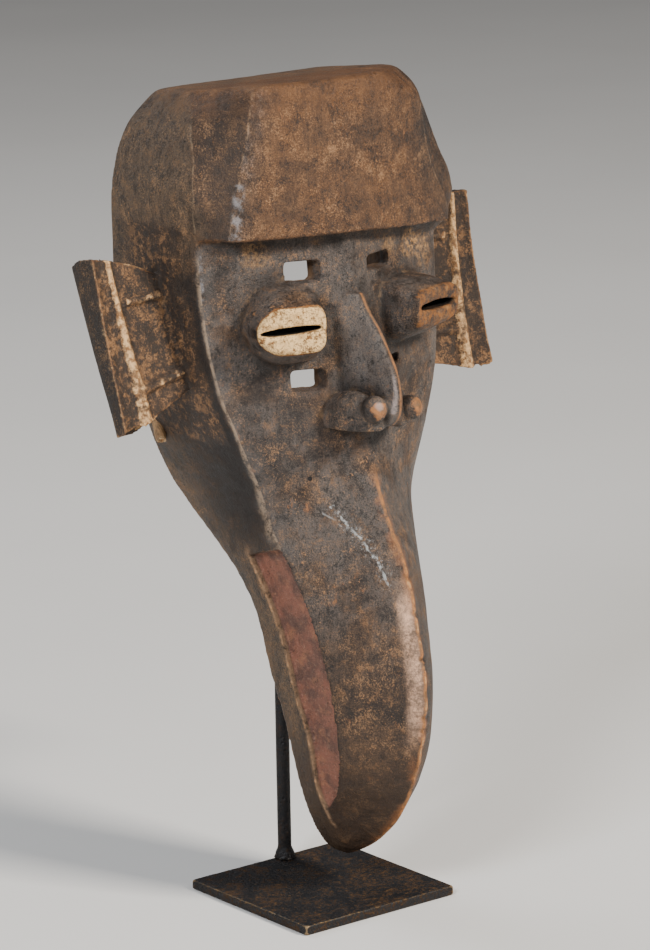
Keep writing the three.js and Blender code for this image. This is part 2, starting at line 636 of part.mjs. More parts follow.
function earSolid({ side, front, bottom, top, backFall, ribs }) {
  const ear = { side, frontY: along(front), bottomZ: along(bottom), topZ: along(top) };
  const upright = (x, eased = 0) => ({ bottom: x, top: x, eased });
  const shifted = (line, by, eased) => ({ bottom: line.bottom + by, top: line.top + by, eased });
  const boardLines = EAR_BOARD_X.map((x) => upright(x));
  const board = earSlab(ear, [...boardLines, shifted(EAR_RIM_INNER_X, EAR_RIB_OVERLAP, 0)],
    EAR_BOARD_SET_BACK, EAR_BOARD_THICKNESS, NO_SHIFT);
  const rimLines = [
    shifted(EAR_RIM_INNER_X, 0, EAR_BEAD_EASE.depth),
    shifted(EAR_RIM_INNER_X, EAR_BEAD_EASE.width, 0),
    upright(EAR_OUTER_X - EAR_EDGE_EASE.width),
    upright(EAR_OUTER_X, EAR_EDGE_EASE.depth),
  ];
  const rim = earSlab(ear, rimLines, NO_SHIFT, EAR_RIM_DEPTH, backFall);
  return ribs.reduce((solid, rib) => solid.add(earRib(ear, rib)), board.add(rim))
    .subtract(earChannel(ear));
}

// Cylinder between two points.
function roundBar(from, to, radius, sides) {
  const start = new THREE.Vector3(from.x, from.y, from.z);
  const finish = new THREE.Vector3(to.x, to.y, to.z);
  const run = finish.clone().sub(start);
  const bar = new THREE.CylinderGeometry(radius, radius, run.length(), sides);
  const turn = new THREE.Quaternion().setFromUnitVectors(new THREE.Vector3(0, 1, 0), run.normalize());
  bar.applyQuaternion(turn);
  const middle = start.add(finish).multiplyScalar(0.5);
  bar.translate(middle.x, middle.y, middle.z);
  return solidOf(bar);
}

function pegBar(radius, over) {
  const from = { x: MIDDLE_X + PEG_START.x, y: PEG_START.y, z: PEG_START.z };
  const to = { x: MIDDLE_X + PEG_END.x, y: PEG_END.y, z: PEG_END.z };
  const stretch = (a, b) => a + (a - b) * over;
  const back = { x: stretch(from.x, to.x), y: stretch(from.y, to.y), z: stretch(from.z, to.z) };
  return roundBar(back, to, radius, PEG_SIDES);
}

function mask() {
  const face = loft(heights(TIP_Z, FACE_TOP_Z, ROW_STEP).map(faceRing));
  const headHeights = [BROW_LOW_Z, ...heights(BROW_EDGE_Z, TEMPLE_FLARE_Z, ROW_STEP / 2),
    ...heights(TEMPLE_FLARE_Z + ROW_STEP, TOP_Z, ROW_STEP)];
  let head = loft(headHeights.map(headRing));
  CROWN_CUTS.forEach((cut) => {
    head = head.subtract(crownCut(cut));
  });
  let body = face.add(head).add(nose());
  EARS.forEach((ear) => {
    body = body.add(earSolid(ear));
  });
  [-1, 1].forEach((side) => {
    body = body.add(eyePad(side));
  });
  body = body.subtract(loft(heights(HOLLOW_FLOOR_Z, HOLLOW_TOP_Z, HOLLOW_ROW_STEP).map(hollowRing)));
  [-1, 1].forEach((side) => {
    body = body.subtract(mouthCut(side)).subtract(eyeSlit(side));
  });
  EYEHOLES.forEach((hole) => {
    body = body.subtract(eyehole(hole));
  });
  return body.subtract(pegBar(PEG_RADIUS + GAP, PEG_HOLE_OVERRUN));
}

// Iron rod with its weld at the foot, a cap under the crown and a strut behind the nose.
function rod() {
  const foot = PLATE_THICKNESS + GAP;
  const shoulder = ROD_TOP - ROD_CAP.height;
  const profile = [
    [0, foot], [WELD.radius, foot], [WELD.waist, foot + WELD.height / 2],
    [ROD_RADIUS, foot + WELD.height], [ROD_RADIUS, shoulder - ROD_CAP.chamfer],
    [ROD_CAP.radius, shoulder], [ROD_CAP.radius, ROD_TOP - ROD_CAP.chamfer],
    [ROD_CAP.radius - ROD_CAP.chamfer, ROD_TOP], [0, ROD_TOP],
  ];
  const upright = new THREE.LatheGeometry(profile.map(([r, z]) => new THREE.Vector2(r, z)), ROD_SIDES);
  upright.rotateX(Math.PI / 2);
  upright.translate(ROD_X, ROD_Y, 0);
  const start = { x: ROD_X, y: ROD_Y, z: STRUT.z };
  const tip = { x: ROD_X, y: STRUT.tipY, z: STRUT.z };
  const pad = { x: ROD_X, y: STRUT.tipY + STRUT_PAD.thickness, z: STRUT.z };
  return solidOf(upright)
    .add(roundBar(start, tip, STRUT.radius, STRUT.sides))
    .add(roundBar(pad, tip, STRUT_PAD.radius, STRUT_PAD.sides));
}

function plate() {
  const inner = PLATE_SIDE / 2 - PLATE_CHAMFER;
  const outer = PLATE_SIDE / 2;
  const square = (half, z) => [[-half, -half, z], [half, -half, z], [half, half, z], [-half, half, z]];
  return loft([
    square(inner, 0), square(outer, PLATE_CHAMFER), square(outer, PLATE_THICKNESS - PLATE_CHAMFER),
    square(inner, PLATE_THICKNESS),
  ]);
}

const part = new THREE.Group();
part.add(meshOf("mask", mask(), WOOD));
part.add(meshOf("rim_peg", pegBar(PEG_RADIUS, 0), PEG_WOOD));
part.add(meshOf("stand_rod", rod(), IRON));
part.add(meshOf("base_plate", plate(), BLACKENED));

export default part;
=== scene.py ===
# A carved wooden bird-beaked mask on its iron stand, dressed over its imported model.
# Outlines are in millimetres in the part's own frame, where the mask looks along -Y and +X is
# its own left.
import math

import bmesh
import bpy
import numpy as np
from mathutils import Matrix, Vector, noise


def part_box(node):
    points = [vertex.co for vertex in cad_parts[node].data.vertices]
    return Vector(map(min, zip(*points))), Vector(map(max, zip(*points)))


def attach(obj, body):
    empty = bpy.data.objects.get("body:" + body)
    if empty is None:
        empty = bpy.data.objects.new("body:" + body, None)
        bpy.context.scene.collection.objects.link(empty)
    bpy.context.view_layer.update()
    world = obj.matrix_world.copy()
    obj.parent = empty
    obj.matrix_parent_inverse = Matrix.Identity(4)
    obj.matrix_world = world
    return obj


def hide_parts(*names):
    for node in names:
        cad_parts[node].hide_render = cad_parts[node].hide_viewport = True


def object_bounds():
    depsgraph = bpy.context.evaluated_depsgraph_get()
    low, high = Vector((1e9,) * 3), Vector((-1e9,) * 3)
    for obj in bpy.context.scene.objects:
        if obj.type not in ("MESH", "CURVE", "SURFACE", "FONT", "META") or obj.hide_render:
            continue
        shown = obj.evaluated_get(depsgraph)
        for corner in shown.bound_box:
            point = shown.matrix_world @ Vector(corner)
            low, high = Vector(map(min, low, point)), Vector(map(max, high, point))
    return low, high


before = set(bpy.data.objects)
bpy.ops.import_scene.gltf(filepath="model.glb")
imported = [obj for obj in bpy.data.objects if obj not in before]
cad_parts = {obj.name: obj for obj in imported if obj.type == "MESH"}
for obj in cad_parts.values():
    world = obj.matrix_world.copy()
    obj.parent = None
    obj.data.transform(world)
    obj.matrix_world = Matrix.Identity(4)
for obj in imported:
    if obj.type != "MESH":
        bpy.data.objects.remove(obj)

bl_info = {
    "name": "Beaked Mask",
    "version": (1, 0, 0),
    "blender": (4, 5, 0),
    "location": "3D View > Sidebar > Beaked Mask",
    "description": "Carves and finishes a beaked wooden mask on its iron stand",
    "category": "Object",
}


def curve(stations):
    """Smooth curve through (height, value) stations that never overshoots them."""
    x, y = np.array(stations, float).T
    slope = np.diff(y) / np.diff(x)
    product = slope[:-1] * slope[1:]
    total = np.where(product > 0, slope[:-1] + slope[1:], 1)
    inner = np.where(product > 0, 2 * product / total, 0)
    tangent = np.concatenate(([slope[0]], inner, [slope[-1]]))

    def value(at):
        at = np.clip(at, x[0], x[-1])
        i = np.clip(np.searchsorted(x, at) - 1, 0, len(slope) - 1)
        span = x[i + 1] - x[i]
        t = (at - x[i]) / span
        rise = y[i + 1] - y[i]
        start, end = tangent[i] * span, tangent[i + 1] * span
        return (y[i] + start * t + (3 * rise - 2 * start - end) * t**2
                + (start + end - 2 * rise) * t**3)

    return value


MM = 0.001
MASK_TRIANGLES = 190000
CAD_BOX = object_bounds()
PLATE_LOW, PLATE_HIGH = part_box("base_plate")
ROD_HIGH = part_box("stand_rod")[1]

# In metres: the mask's distance from its box and its lowest height, then the quads of the other
# pieces' skins and the plate's bevel
BOX_MARGIN = 0.0002
MASK_FOOT = 0.02
PEG_VOXEL = 0.0004
ROD_VOXEL = 0.0007
PLATE_VOXEL = 0.0008
PLATE_BEVEL = 0.0009

# The mask's own heights and its middle plane
MIDDLE_X = 10
TIP_Z = 20.6
JAW_LOW_Z = 130
JAW_HIGH_Z = 230
FACE_TOP_Z = 342
BROW_LOW_Z = 319
BROW_EDGE_Z = 326
BROW_FALL = 0.11
BROW_FALL_TOP_Z = 385
TEMPLE_FLARE_Z = 352
CROWN_Z = 402

# Flat cuts of the crown, each a plane through a point, and the block that makes them, in metres
CROWN_CUTS = (
    {"x": 0, "y": -15.7, "z": 397.6, "along_x": -0.01, "along_y": -0.13},
    {"x": 19, "y": -15.7, "z": 397.1, "along_x": -0.63, "along_y": 0.61},
)
CUT_BLOCK = (0.26, 0.26, 0.06)

# Softening of the skin, as shares of the way to the neighbours' average, and the crown's own
SOFTENING = (0.6, 0.6, -0.62, 0.5)
CROWN_SOFTENING = 0.9
CROWN_SOFT_FROM_Z = 356
CROWN_SOFT_FULL_Z = 378

# Outlines of the face and beak, each as (height, value)
keel_y = curve((
    (20, -9.6), (23, -16), (27, -23.5), (33, -32.6), (47, -47.4), (64, -57.6), (80, -64),
    (95, -67.7), (111, -69.6), (129, -67), (147, -62.6), (164, -58.1), (177, -52.2),
    (192, -41.8), (212, -33.4), (228, -29.8), (265, -24), (300, -18.8), (345, -14),
))
edge_x = curve((
    (20, 2), (23, 5.6), (27, 9.6), (35, 14.2), (47, 21), (62, 25.2), (84, 28.2), (108, 30.2),
    (139, 33.7), (165, 37.6), (178, 40.5), (194, 43.1), (209, 48.1), (222, 53.3), (239, 59.7),
    (254, 64.5), (282, 68.6), (345, 71),
))
edge_y = curve((
    (20, -9.4), (23, -13), (27, -17), (35, -20.2), (47, -20), (54, -25), (62, -31.4),
    (84, -36.7), (108, -34.8), (139, -27.9), (165, -17.4), (178, -11.3), (194, -6.6),
    (222, -4.7), (239, -2.7), (264, 1.9), (302, 6.6), (345, 9),
))
rim_x = curve((
    (20, 2), (23, 8), (27, 12.4), (36, 18), (51, 23), (65, 26), (87, 28.6), (113, 31),
    (139, 33), (159, 35.5), (178, 39), (190, 42), (201, 47), (224, 56), (262, 68), (300, 75),
    (345, 75),
))
rim_y = curve((
    (20, -9), (23, -8), (27, -6.2), (36, -5.2), (51, -3.5), (65, -1.6), (87, 2.5),
    (113, 10.6), (139, 17.5), (159, 29.1), (169, 39.2), (178, 48.7), (190, 60.1),
    (201, 64.8), (224, 67.8), (345, 68),
))
front_bulge = curve((
    (20, 0.4), (47, 1.4), (95, 1.7), (140, 1.6), (178, 1.6), (215, 1.5), (345, 1.3),
))
side_bulge = curve((
    (20, 0.2), (90, 1), (150, 1.4), (200, 2.2), (245, 4.4), (275, 4), (310, 2.4), (345, 2),
))

# Outlines of the forehead block
brow_middle_y = curve(((326, -24.6), (350, -22.4), (375, -19.4), (402, -15)))
ridge_x = curve(((326, 61), (402, 46)))
ridge_y = curve(((326, -5), (402, -9.2)))
temple_x = curve((
    (326, 75.2), (336, 75.2), (347, 74.4), (357, 72.4), (368, 69.8), (377, 67.2), (385, 64),
    (392, 57.5), (402, 47),
))
temple_y = curve((
    (326, 2), (336, 2.4), (347, 4.2), (357, 6.9), (368, 10.6), (377, 14), (385, 18.6),
    (392, 29), (402, 40),
))
head_rim_x = curve((
    (319, 75.3), (330, 75.5), (345, 74.3), (361, 70.6), (372, 66.2), (380, 58.5), (386, 50),
    (402, 34),
))
FOREHEAD_BULGE = 3.2
HEAD_SIDE_BULGE = 2
HEAD_SINK = 1.5

# Outlines of the hollow behind the face
HOLLOW_LOW_Z = 141
HOLLOW_TOP_Z = 381
HOLLOW_BACK_Y = 90
hollow_front_y = curve((
    (141, 16), (148, 5), (165, -12), (180, -21), (200, -23), (228, -18), (265, -12.5),
    (300, -7.4), (320, -6.4), (335, -9), (352, -8), (368, -3), (377, 5), (381, 14),
))
hollow_edge_x = curve((
    (141, 9), (148, 15), (165, 24), (180, 28.5), (200, 34.5), (222, 41.5), (254, 52.5),
    (282, 57), (320, 59.5), (345, 61), (362, 57), (372, 51), (381, 38),
))
hollow_edge_y = curve((
    (141, 19), (148, 14), (165, 3), (180, 1), (200, 4), (222, 5.4), (254, 9.5), (282, 13.5),
    (320, 16), (345, 15), (362, 18), (372, 24), (381, 34),
))
hollow_rim_x = curve((
    (141, 10), (148, 16), (165, 25.5), (180, 29.5), (200, 36), (224, 46), (262, 57), (300, 63),
    (345, 62.5), (361, 58), (372, 52), (381, 40),
))

# Mouth: a sunk panel on each side of the beak
MOUTH_LOW_Z = 45.5
MOUTH_FRONT_TOP_Z = 178.4
MOUTH_BACK_TOP_Z = 170.3
mouth_back_y = curve((
    (43, -19.6), (52, -18.6), (62, -17.2), (77, -16.8), (89, -14.7), (103, -9.5), (129, -3.3),
    (145, 2.6), (159, 8.6), (171, 14.6),
))
MOUTH_FRONT_DEPTH = 5
MOUTH_BACK_DEPTH = 2.4

# Nose
NOSE_LOW_Z = 237
NOSE_TOP_Z = 296.5
nose_y = curve((
    (237, -45.5), (240, -48.8), (244, -51.2), (250, -52), (257, -51.4), (265, -48.6), (272, -43.8),
    (282, -36), (288, -29.6), (296.5, -23.6),
))
nose_half_width = curve((
    (237, 8.5), (247, 9.4), (254, 10.4), (264, 11.4), (280, 12), (292, 11.6), (296.5, 11),
))
NOSE_RIDGE_HALF_WIDTH = 2.2
NOSE_TIP_HALF_WIDTH = 3
NOSTRILS = {
    -1: {"x": 9.5, "y": -45, "z": 246.6, "radii": (5.8, 6.2, 6.6), "turn": 0, "flat": 0.85},
    1: {"x": 12, "y": -44.5, "z": 243.8, "radii": (5.6, 6.2, 6.2), "turn": 0, "flat": 0.85},
}
WING = {"x": 11.8, "y": -31.5, "z": 238.1, "radii": (7.6, 16, 15.5), "turn": 26, "flat": 0.15}

# Eye pads, each squarely out of its half of the face
EYE_TURN = math.radians(18.5)
EYE_CENTRE = {"x": 43.6, "y": -28.4, "z": 285.4}
EYE_REACH = 30
EYE_BASE = {
    -1: {"half_width": 18.5, "up": 20, "down": 22},
    1: {"half_width": 18.2, "up": 13.5, "down": 20},
}
EYE_FRONT = {
    -1: {"half_width": 17, "up": 11.4, "down": 11.6},
    1: {"half_width": 17.8, "up": 9.4, "down": 9.8},
}
EYE_LEVELS = ((EYE_REACH, 1), (12, 0.55), (3.4, 0.06), (1.5, -0.03), (0.4, -0.14), (0, -0.3))
PAD_BLUNTNESS = {-1: {"inner": 0.42, "outer": 1}, 1: {"inner": 0.42, "outer": 0.55}}
PAD_POINT = {-1: 1.25, 1: 1}
SLIT_HALF_HEIGHT = 1.3
SLIT_END_HALF_HEIGHT = 0.5
SLIT_UP = 0.4
SLIT_TILT = 0.043
SLIT_LEAN = 0.1
SLIT_LEVELS = (
    {"depth": -8, "half_width": 18.2, "flare": 2.8}, {"depth": 0, "half_width": 17.6, "flare": 1.3},
    {"depth": 1.6, "half_width": 16.6, "flare": 1}, {"depth": 46, "half_width": 13, "flare": 1},
)

# Square eyeholes; x is measured towards the mask's left
EYEHOLES = (
    {"x": -23.2, "z": 307.9, "half_width": 8.4, "half_height": 5, "slant": 0.36},
    {"x": 20.6, "z": 307.5, "half_width": 8.6, "half_height": 3.5, "slant": 0},
    {"x": -24.9, "z": 257.8, "half_width": 7.8, "half_height": 4.8, "slant": 0.3},
    {"x": 23, "z": 260.2, "half_width": 7.4, "half_height": 2.6, "slant": 0},
)
HOLE_START_Y = -34
HOLE_MOUTH_Y = -6
HOLE_END_Y = 30

# Ears
EARS = (
    {
        "side": -1,
        "front": ((236, 9.6), (242, 10.5), (280, 22), (317, 32), (325, 34)),
        "bottom": ((56, 260), (77.6, 251), (95, 243.6), (112, 241)),
        "top": ((56, 299), (75.4, 308.3), (84, 312.8), (99.5, 317.4), (112, 320)),
        "back_fall": (4, 5.8),
        "ribs": ((299.4, 298.4), (267, 258.6)),
    },
    {
        "side": 1,
        "front": ((236, 12.6), (241, 13.9), (252, 17.6), (272, 22.9), (295, 28.1), (323, 32.4)),
        "bottom": ((56, 247.5), (79, 243.6), (106, 238), (112, 239.6)),
        "top": ((56, 309), (75.4, 316), (99.5, 322.6), (112, 323)),
        "back_fall": (0, 5),
        "ribs": ((304, 303), (259.4, 258.4)),
    },
)
EAR_LOW_Z = 228
EAR_HIGH_Z = 330
EAR_RIM_LOW_Z = 241
EAR_RIM_HIGH_Z = 320
EAR_ROOT_X = 56
EAR_OUTER_X = 112
EAR_RIM_INNER_X = (93.2, 101)
EAR_GROOVE_X = (101.4, 104.8)
EAR_RIM_DEPTH = (7.4, 18)
EAR_BOARD_SET_BACK = (3, 2.6)
EAR_BOARD_THICKNESS = (6, 8)
EAR_RIB_HALF_HEIGHT = 2
EAR_RIB_PROUD = 2.2

# Peg through the rim, and the rod's strut
PEG_START = (MIDDLE_X - 54, 67, 239)
PEG_END = (MIDDLE_X - 61.6, 51, 222)
PEG_RADIUS = 2.9
GAP = 0.3
PEG_SLACK = 0.15
ROD_X = 9
ROD_Y = 41
STRUT_HEIGHT = 212
STRUT_RADIUS = 2.6
STRUT_TIP_Y = -15.5
STRUT_PAD_RADIUS = 6
STRUT_PAD_THICKNESS = 2.4
CAP_RADIUS = 7

# How far the brow's left end reaches past the right one's shape
temple_reach = curve((
    (312, 7.5), (326, 7.5), (331.5, 6.8), (335, 5.3), (339, 3.9), (345.5, 1.8), (349, 1), (358, 0),
))

# Marks of age: small nicks along the keel as (height, reach, depth), scratches, a crack and a
# worm hole; and the lines of painted sheen on the nose, the forehead's ridge and the cheek
KEEL_NOTCHES = (
    (166.1, 1.6, 1.1), (149.9, 1.3, 0.9), (140, 2.4, 0.5), (128.9, 1.2, 1.1), (113, 3.2, 0.5),
    (100.5, 2.2, 1.1), (93.8, 1.8, 1.2), (84, 3, 0.6), (70, 2.5, 0.4),
)
CHALK_SCRATCH = (
    (-11, -25.1, 198.1), (-6.6, -30.6, 191.2), (-1.6, -39.8, 181.1), (1, -46.7, 172.4),
    (2, -51.1, 163.5),
)
CHALK_BRANCH = ((-2.6, -37.4, 184), (2.6, -42.5, 181), (4.6, -47.2, 175.6), (5.4, -50, 170))
SHORT_SCRATCH = ((-14.2, -23.1, 195.9), (-10.7, -26.8, 192.2), (-7.6, -28.2, 195.8))
NOSE_CRACK = ((33.2, -20.8, 227), (32.5, -21.4, 222.4), (30.9, -22.6, 218))
NOSE_SHEEN = ((7.5, -50.5, 262), (7.6, -52, 254), (7.2, -50.8, 245))
RIDGE_SHEEN = ((-46, -6.5, 350), (-47.4, -6.3, 338), (-48.8, -6.1, 327))
CHEEK_SHEEN = ((-59, 7.2, 318.3), (-58.9, 6.8, 310.4), (-58.7, 6, 299))
TEMPLE_LINE = (
    (-53.6, 19.4, 384.9), (-60.4, 8.8, 363.9), (-64.1, 4.6, 346.5), (-60.8, 8.3, 326.8),
)
INSECT_HOLE = (-17.9, -19.1, 211.8)

# Soft square lamps: share of the key's power, side, place in metres and colour
LAMPS = {
    "key_lamp": (1, 0.5, (0.75, -1.8, 1.7), (1.0, 0.93, 0.84)),
    "fill_lamp": (0.55, 0.7, (-1.9, -0.9, 1.5), (0.95, 0.97, 1.0)),
    "rim_lamp": (0.14, 0.9, (-0.2, 1.6, 1.6), (0.95, 0.97, 1.0)),
}
LAMP_AIM = (0, 0, 0.22)
SKY_COLOUR = (0.9, 0.93, 1.0, 1.0)

# The photo's camera: turn, pitch and roll in degrees, distance and target in millimetres
CAMERA_TURN = -37.985
CAMERA_PITCH = 14.279
CAMERA_ROLL = -1
CAMERA_DISTANCE = 2300
CAMERA_TARGET_ACROSS = 4.689
CAMERA_TARGET_Z = 206.81
CAMERA_LENS = 185.28
CAMERA_SENSOR = 36


def mix(a, b, t):
    return a + (b - a) * t


def smooth(value, low, high):
    t = np.clip((np.asarray(value, float) - low) / (high - low), 0, 1)
    return t * t * (3 - 2 * t)


def swell(start, end, steps, bulge=0):
    """Points from one corner towards the next, swelling outwards by bulge half way."""
    run = (end[0] - start[0], end[1] - start[1])
    length = math.hypot(*run)
    out = (run[1] / length, -run[0] / length)
    points = []
    for step in range(steps):
        t = step / steps
        swollen = 4 * bulge * t * (1 - t)
        points.append((start[0] + run[0] * t + out[0] * swollen,
                       start[1] + run[1] * t + out[1] * swollen))
    return points


def mirrored(half, z):
    """Whole ring from the half that runs from the front middle to the back middle."""
    right = [(MIDDLE_X + x, y, z) for x, y in half]
    left = [(MIDDLE_X - x, y, z) for x, y in reversed(half[1:-1])]
    return right + left


def heights(low, high, step):
    return np.linspace(low, high, math.ceil((high - low) / step) + 1)


def skin(name, rings):
    """Closed object through equal rings of points in millimetres, with both ends filled."""
    around, rows = len(rings[0]), len(rings)
    bm = bmesh.new()
    grid = bmesh.ops.create_grid(bm, x_segments=around, y_segments=rows - 1, size=0.5)
    for vert in grid["verts"]:
        column = round((vert.co.x + 0.5) * around) % around
        row = round((vert.co.y + 0.5) * (rows - 1))
        vert.co = Vector(rings[row][column]) * MM
    bmesh.ops.remove_doubles(bm, verts=bm.verts[:], dist=1e-7)
    rims = [edge for edge in bm.edges if edge.is_boundary]
    ends = bmesh.ops.holes_fill(bm, edges=rims, sides=0)
    bmesh.ops.poke(bm, faces=ends["faces"])
    bmesh.ops.recalc_face_normals(bm, faces=bm.faces[:])
    return keep(bm, name)


def keep(bm, name, place=None, turn=None):
    """Turns and moves a bmesh's points and ends it as a linked object at the origin."""
    if turn is not None:
        bmesh.ops.rotate(bm, matrix=turn, verts=bm.verts)
    if place is not None:
        bmesh.ops.translate(bm, vec=place, verts=bm.verts)
    mesh = bpy.data.meshes.new(name)
    bm.to_mesh(mesh)
    bm.free()
    piece = bpy.data.objects.new(name, mesh)
    bpy.context.scene.collection.objects.link(piece)
    return piece


def carve(piece, joined=(), cut=()):
    """Adds a Boolean for every tool, joins first."""
    for operation, tools in (("UNION", joined), ("DIFFERENCE", cut)):
        for tool in tools:
            modifier = piece.modifiers.new(tool.name, "BOOLEAN")
            modifier.operation = operation
            modifier.object = tool
            modifier.solver = "MANIFOLD"


def settle(piece, tools=()):
    """Bakes a piece's modifiers into its mesh and removes the tools that they used."""
    evaluated = piece.evaluated_get(bpy.context.evaluated_depsgraph_get())
    mesh = bpy.data.meshes.new_from_object(evaluated)
    mesh.name = piece.name
    piece.modifiers.clear()
    piece.data = mesh
    for tool in tools:
        bpy.data.objects.remove(tool)


def face_y(x, z):
    """The face's own surface at a distance x from the middle."""
    return mix(keel_y(z), edge_y(z), np.minimum(x / edge_x(z), 1))


def face_ring(z):
    """Section of the face and beak: keel, edge line, rim line and flat back."""
    keel, edge, rim = (0, keel_y(z)), (edge_x(z), edge_y(z)), (rim_x(z), rim_y(z))
    side = min(side_bulge(z), (rim[1] - edge[1]) * 0.08)
    return mirrored([
        *swell(keel, edge, 24, front_bulge(z)),
        *swell(edge, rim, 22, side),
        *swell(rim, (0, rim[1]), 10),
        (0, rim[1]),
    ], z)


def brow_fall(x, z):
    """How far the brow hangs lower at a distance x to the mask's left, less towards the crown."""
    fade = smooth(BROW_FALL_TOP_Z - z, 0, BROW_FALL_TOP_Z - BROW_EDGE_Z)
    return BROW_FALL * max(x, 0) * fade


def head_ring(z):
    """Section of the forehead block; below the brow's edge it shrinks inside the face."""
    height = max(z, BROW_EDGE_Z)
    flare = float(smooth(height, BROW_EDGE_Z - 3, TEMPLE_FLARE_Z))
    temple = (mix(edge_x(height), temple_x(height), flare),
              mix(edge_y(height), temple_y(height), flare))
    ridge = (ridge_x(height), ridge_y(height))
    rim = (mix(rim_x(height), head_rim_x(height), flare), rim_y(height))
    half = [
        *swell((0, brow_middle_y(height)), ridge, 26, FOREHEAD_BULGE),
        *swell(ridge, temple, 8, 0.5),
        *swell(temple, rim, 22, mix(side_bulge(height), HEAD_SIDE_BULGE, flare)),
        *swell(rim, (0, rim[1]), 10),
        (0, rim[1]),
    ]
    if z < BROW_EDGE_Z:
        half = [(max(x - HEAD_SINK, 0), max(y, face_y(x, z) + HEAD_SINK)) for x, y in half]
    return [(x, y, z - brow_fall(x - MIDDLE_X, z)) for x, y, z in mirrored(half, z)]


def hollow_ring(z):
    """Section of the hollow, which stays open at the back."""
    edge = (hollow_edge_x(z), hollow_edge_y(z))
    rim = (hollow_rim_x(z), max(rim_y(z), edge[1] + 2))
    return mirrored([
        *swell((0, hollow_front_y(z)), edge, 16, 2.5),
        *swell(edge, rim, 10, 1),
        rim,
        (hollow_rim_x(z), HOLLOW_BACK_Y),
        (0, HOLLOW_BACK_Y),
    ], z)


def crown_cut(plane):
    """Block that cuts the crown flat along a plane through one of its points."""
    bm = bmesh.new()
    bmesh.ops.create_cube(bm, size=1)
    bmesh.ops.scale(bm, vec=CUT_BLOCK, verts=bm.verts)
    bmesh.ops.translate(bm, vec=(0, 0, CUT_BLOCK[2] / 2), verts=bm.verts)
    normal = Vector((-plane["along_x"], -plane["along_y"], 1))
    turn = Vector((0, 0, 1)).rotation_difference(normal).to_matrix()
    place = Vector((MIDDLE_X + plane["x"], plane["y"], plane["z"])) * MM
    return keep(bm, "crown_cut", place, turn)


def side_x(y, z):
    """The beak's side at a share of the way from the edge line to the rim line."""
    return mix(edge_x(z), rim_x(z), (y - edge_y(z)) / (rim_y(z) - edge_y(z)))


def mouth_cut(side):
    """Wedge that sinks the panel between the beak's edge line and the mouth's back line."""
    rings = []
    for t in np.linspace(0, 1, 61):
        front_z = mix(MOUTH_LOW_Z, MOUTH_FRONT_TOP_Z, t)
        back_z = mix(MOUTH_LOW_Z, MOUTH_BACK_TOP_Z, t)
        front_y = edge_y(front_z)
        back_y = max(mouth_back_y(back_z), front_y + 0.6)
        deep = min(1, t * 9)
        front = edge_x(front_z) - MOUTH_FRONT_DEPTH * deep
        back = side_x(back_y, back_z) - MOUTH_BACK_DEPTH * deep
        outer = edge_x(front_z) + 12
        rings.append([
            (MIDDLE_X + side * front, front_y, front_z),
            (MIDDLE_X + side * back, back_y, back_z),
            (MIDDLE_X + side * outer, back_y, back_z),
            (MIDDLE_X + side * outer, front_y, front_z),
        ])
    return skin("mouth_cut", rings)


def nose_ring(z):
    """A wedge high up that turns into a narrow fin between the nostrils."""
    fin = float(smooth(256 - z, 0, 8))
    half = nose_half_width(z)
    ridge = nose_y(z)
    skirt = half + mix(5, 1, fin)
    root = face_y(skirt, z) + 1.5
    reach = root - ridge
    corners = [
        (0, ridge),
        (mix(NOSE_RIDGE_HALF_WIDTH, NOSE_TIP_HALF_WIDTH, fin), ridge + mix(0.8, 1.2, fin)),
        (half * mix(0.5, 0.46, fin), ridge + reach * mix(0.4, 0.5, fin)),
        (half, ridge + reach * 0.86),
        (skirt, root),
        (skirt, 4),
    ]
    outline = []
    for start, end in zip(corners, corners[1:]):
        outline += swell(start, end, 5, 0.15)
    return mirrored([*outline, (skirt, 4), (0, 4)], z)


def lobe(name, side, shape):
    """Rounded half of a nostril, longer front to back and flat underneath."""
    bm = bmesh.new()
    bmesh.ops.create_uvsphere(bm, u_segments=40, v_segments=24, radius=1)
    for vert in bm.verts:
        vert.co.z = max(vert.co.z, -shape["flat"])
    bmesh.ops.scale(bm, vec=Vector(shape["radii"]) * MM, verts=bm.verts)
    turn = Matrix.Rotation(-side * math.radians(shape["turn"]), 3, "Z")
    place = Vector((MIDDLE_X + side * shape["x"], shape["y"], shape["z"])) * MM
    return keep(bm, name, place, turn)


def eye_point(side, outwards, depth, up):
    """A point of the eye's own frame: outwards across the face, depth back into it."""
    x = EYE_CENTRE["x"] + outwards * math.cos(EYE_TURN) - depth * math.sin(EYE_TURN)
    y = EYE_CENTRE["y"] + outwards * math.sin(EYE_TURN) + depth * math.cos(EYE_TURN)
    return MIDDLE_X + side * x, y, EYE_CENTRE["z"] + up


def pad_outline(half_width, up, down, side):
    """Closed outline with its own bluntness at the inner and at the outer end."""
    steps = 96
    outline = []
    for step in range(steps):
        c = math.cos(math.tau * step / steps)
        s = math.sin(math.tau * step / steps)
        power = PAD_BLUNTNESS[side]["outer" if c > 0 else "inner"]
        across = math.copysign(abs(c) ** power, c) * half_width
        tall = abs(s) ** (power * (PAD_POINT[side] if c > 0 else 1))
        outline.append((across, math.copysign(tall, s) * (up if s > 0 else down)))
    return outline


def eye_pad(side):
    """Eye that stands out of the face, with rounded front edges."""
    rings = []
    for depth, grow in EYE_LEVELS:
        front, base = EYE_FRONT[side], EYE_BASE[side]
        size = {key: mix(front[key], base[key], grow) for key in front}
        outline = pad_outline(**size, side=side)
        rings.append([eye_point(side, out, depth, height) for out, height in outline])
    return skin("eye_pad", rings)


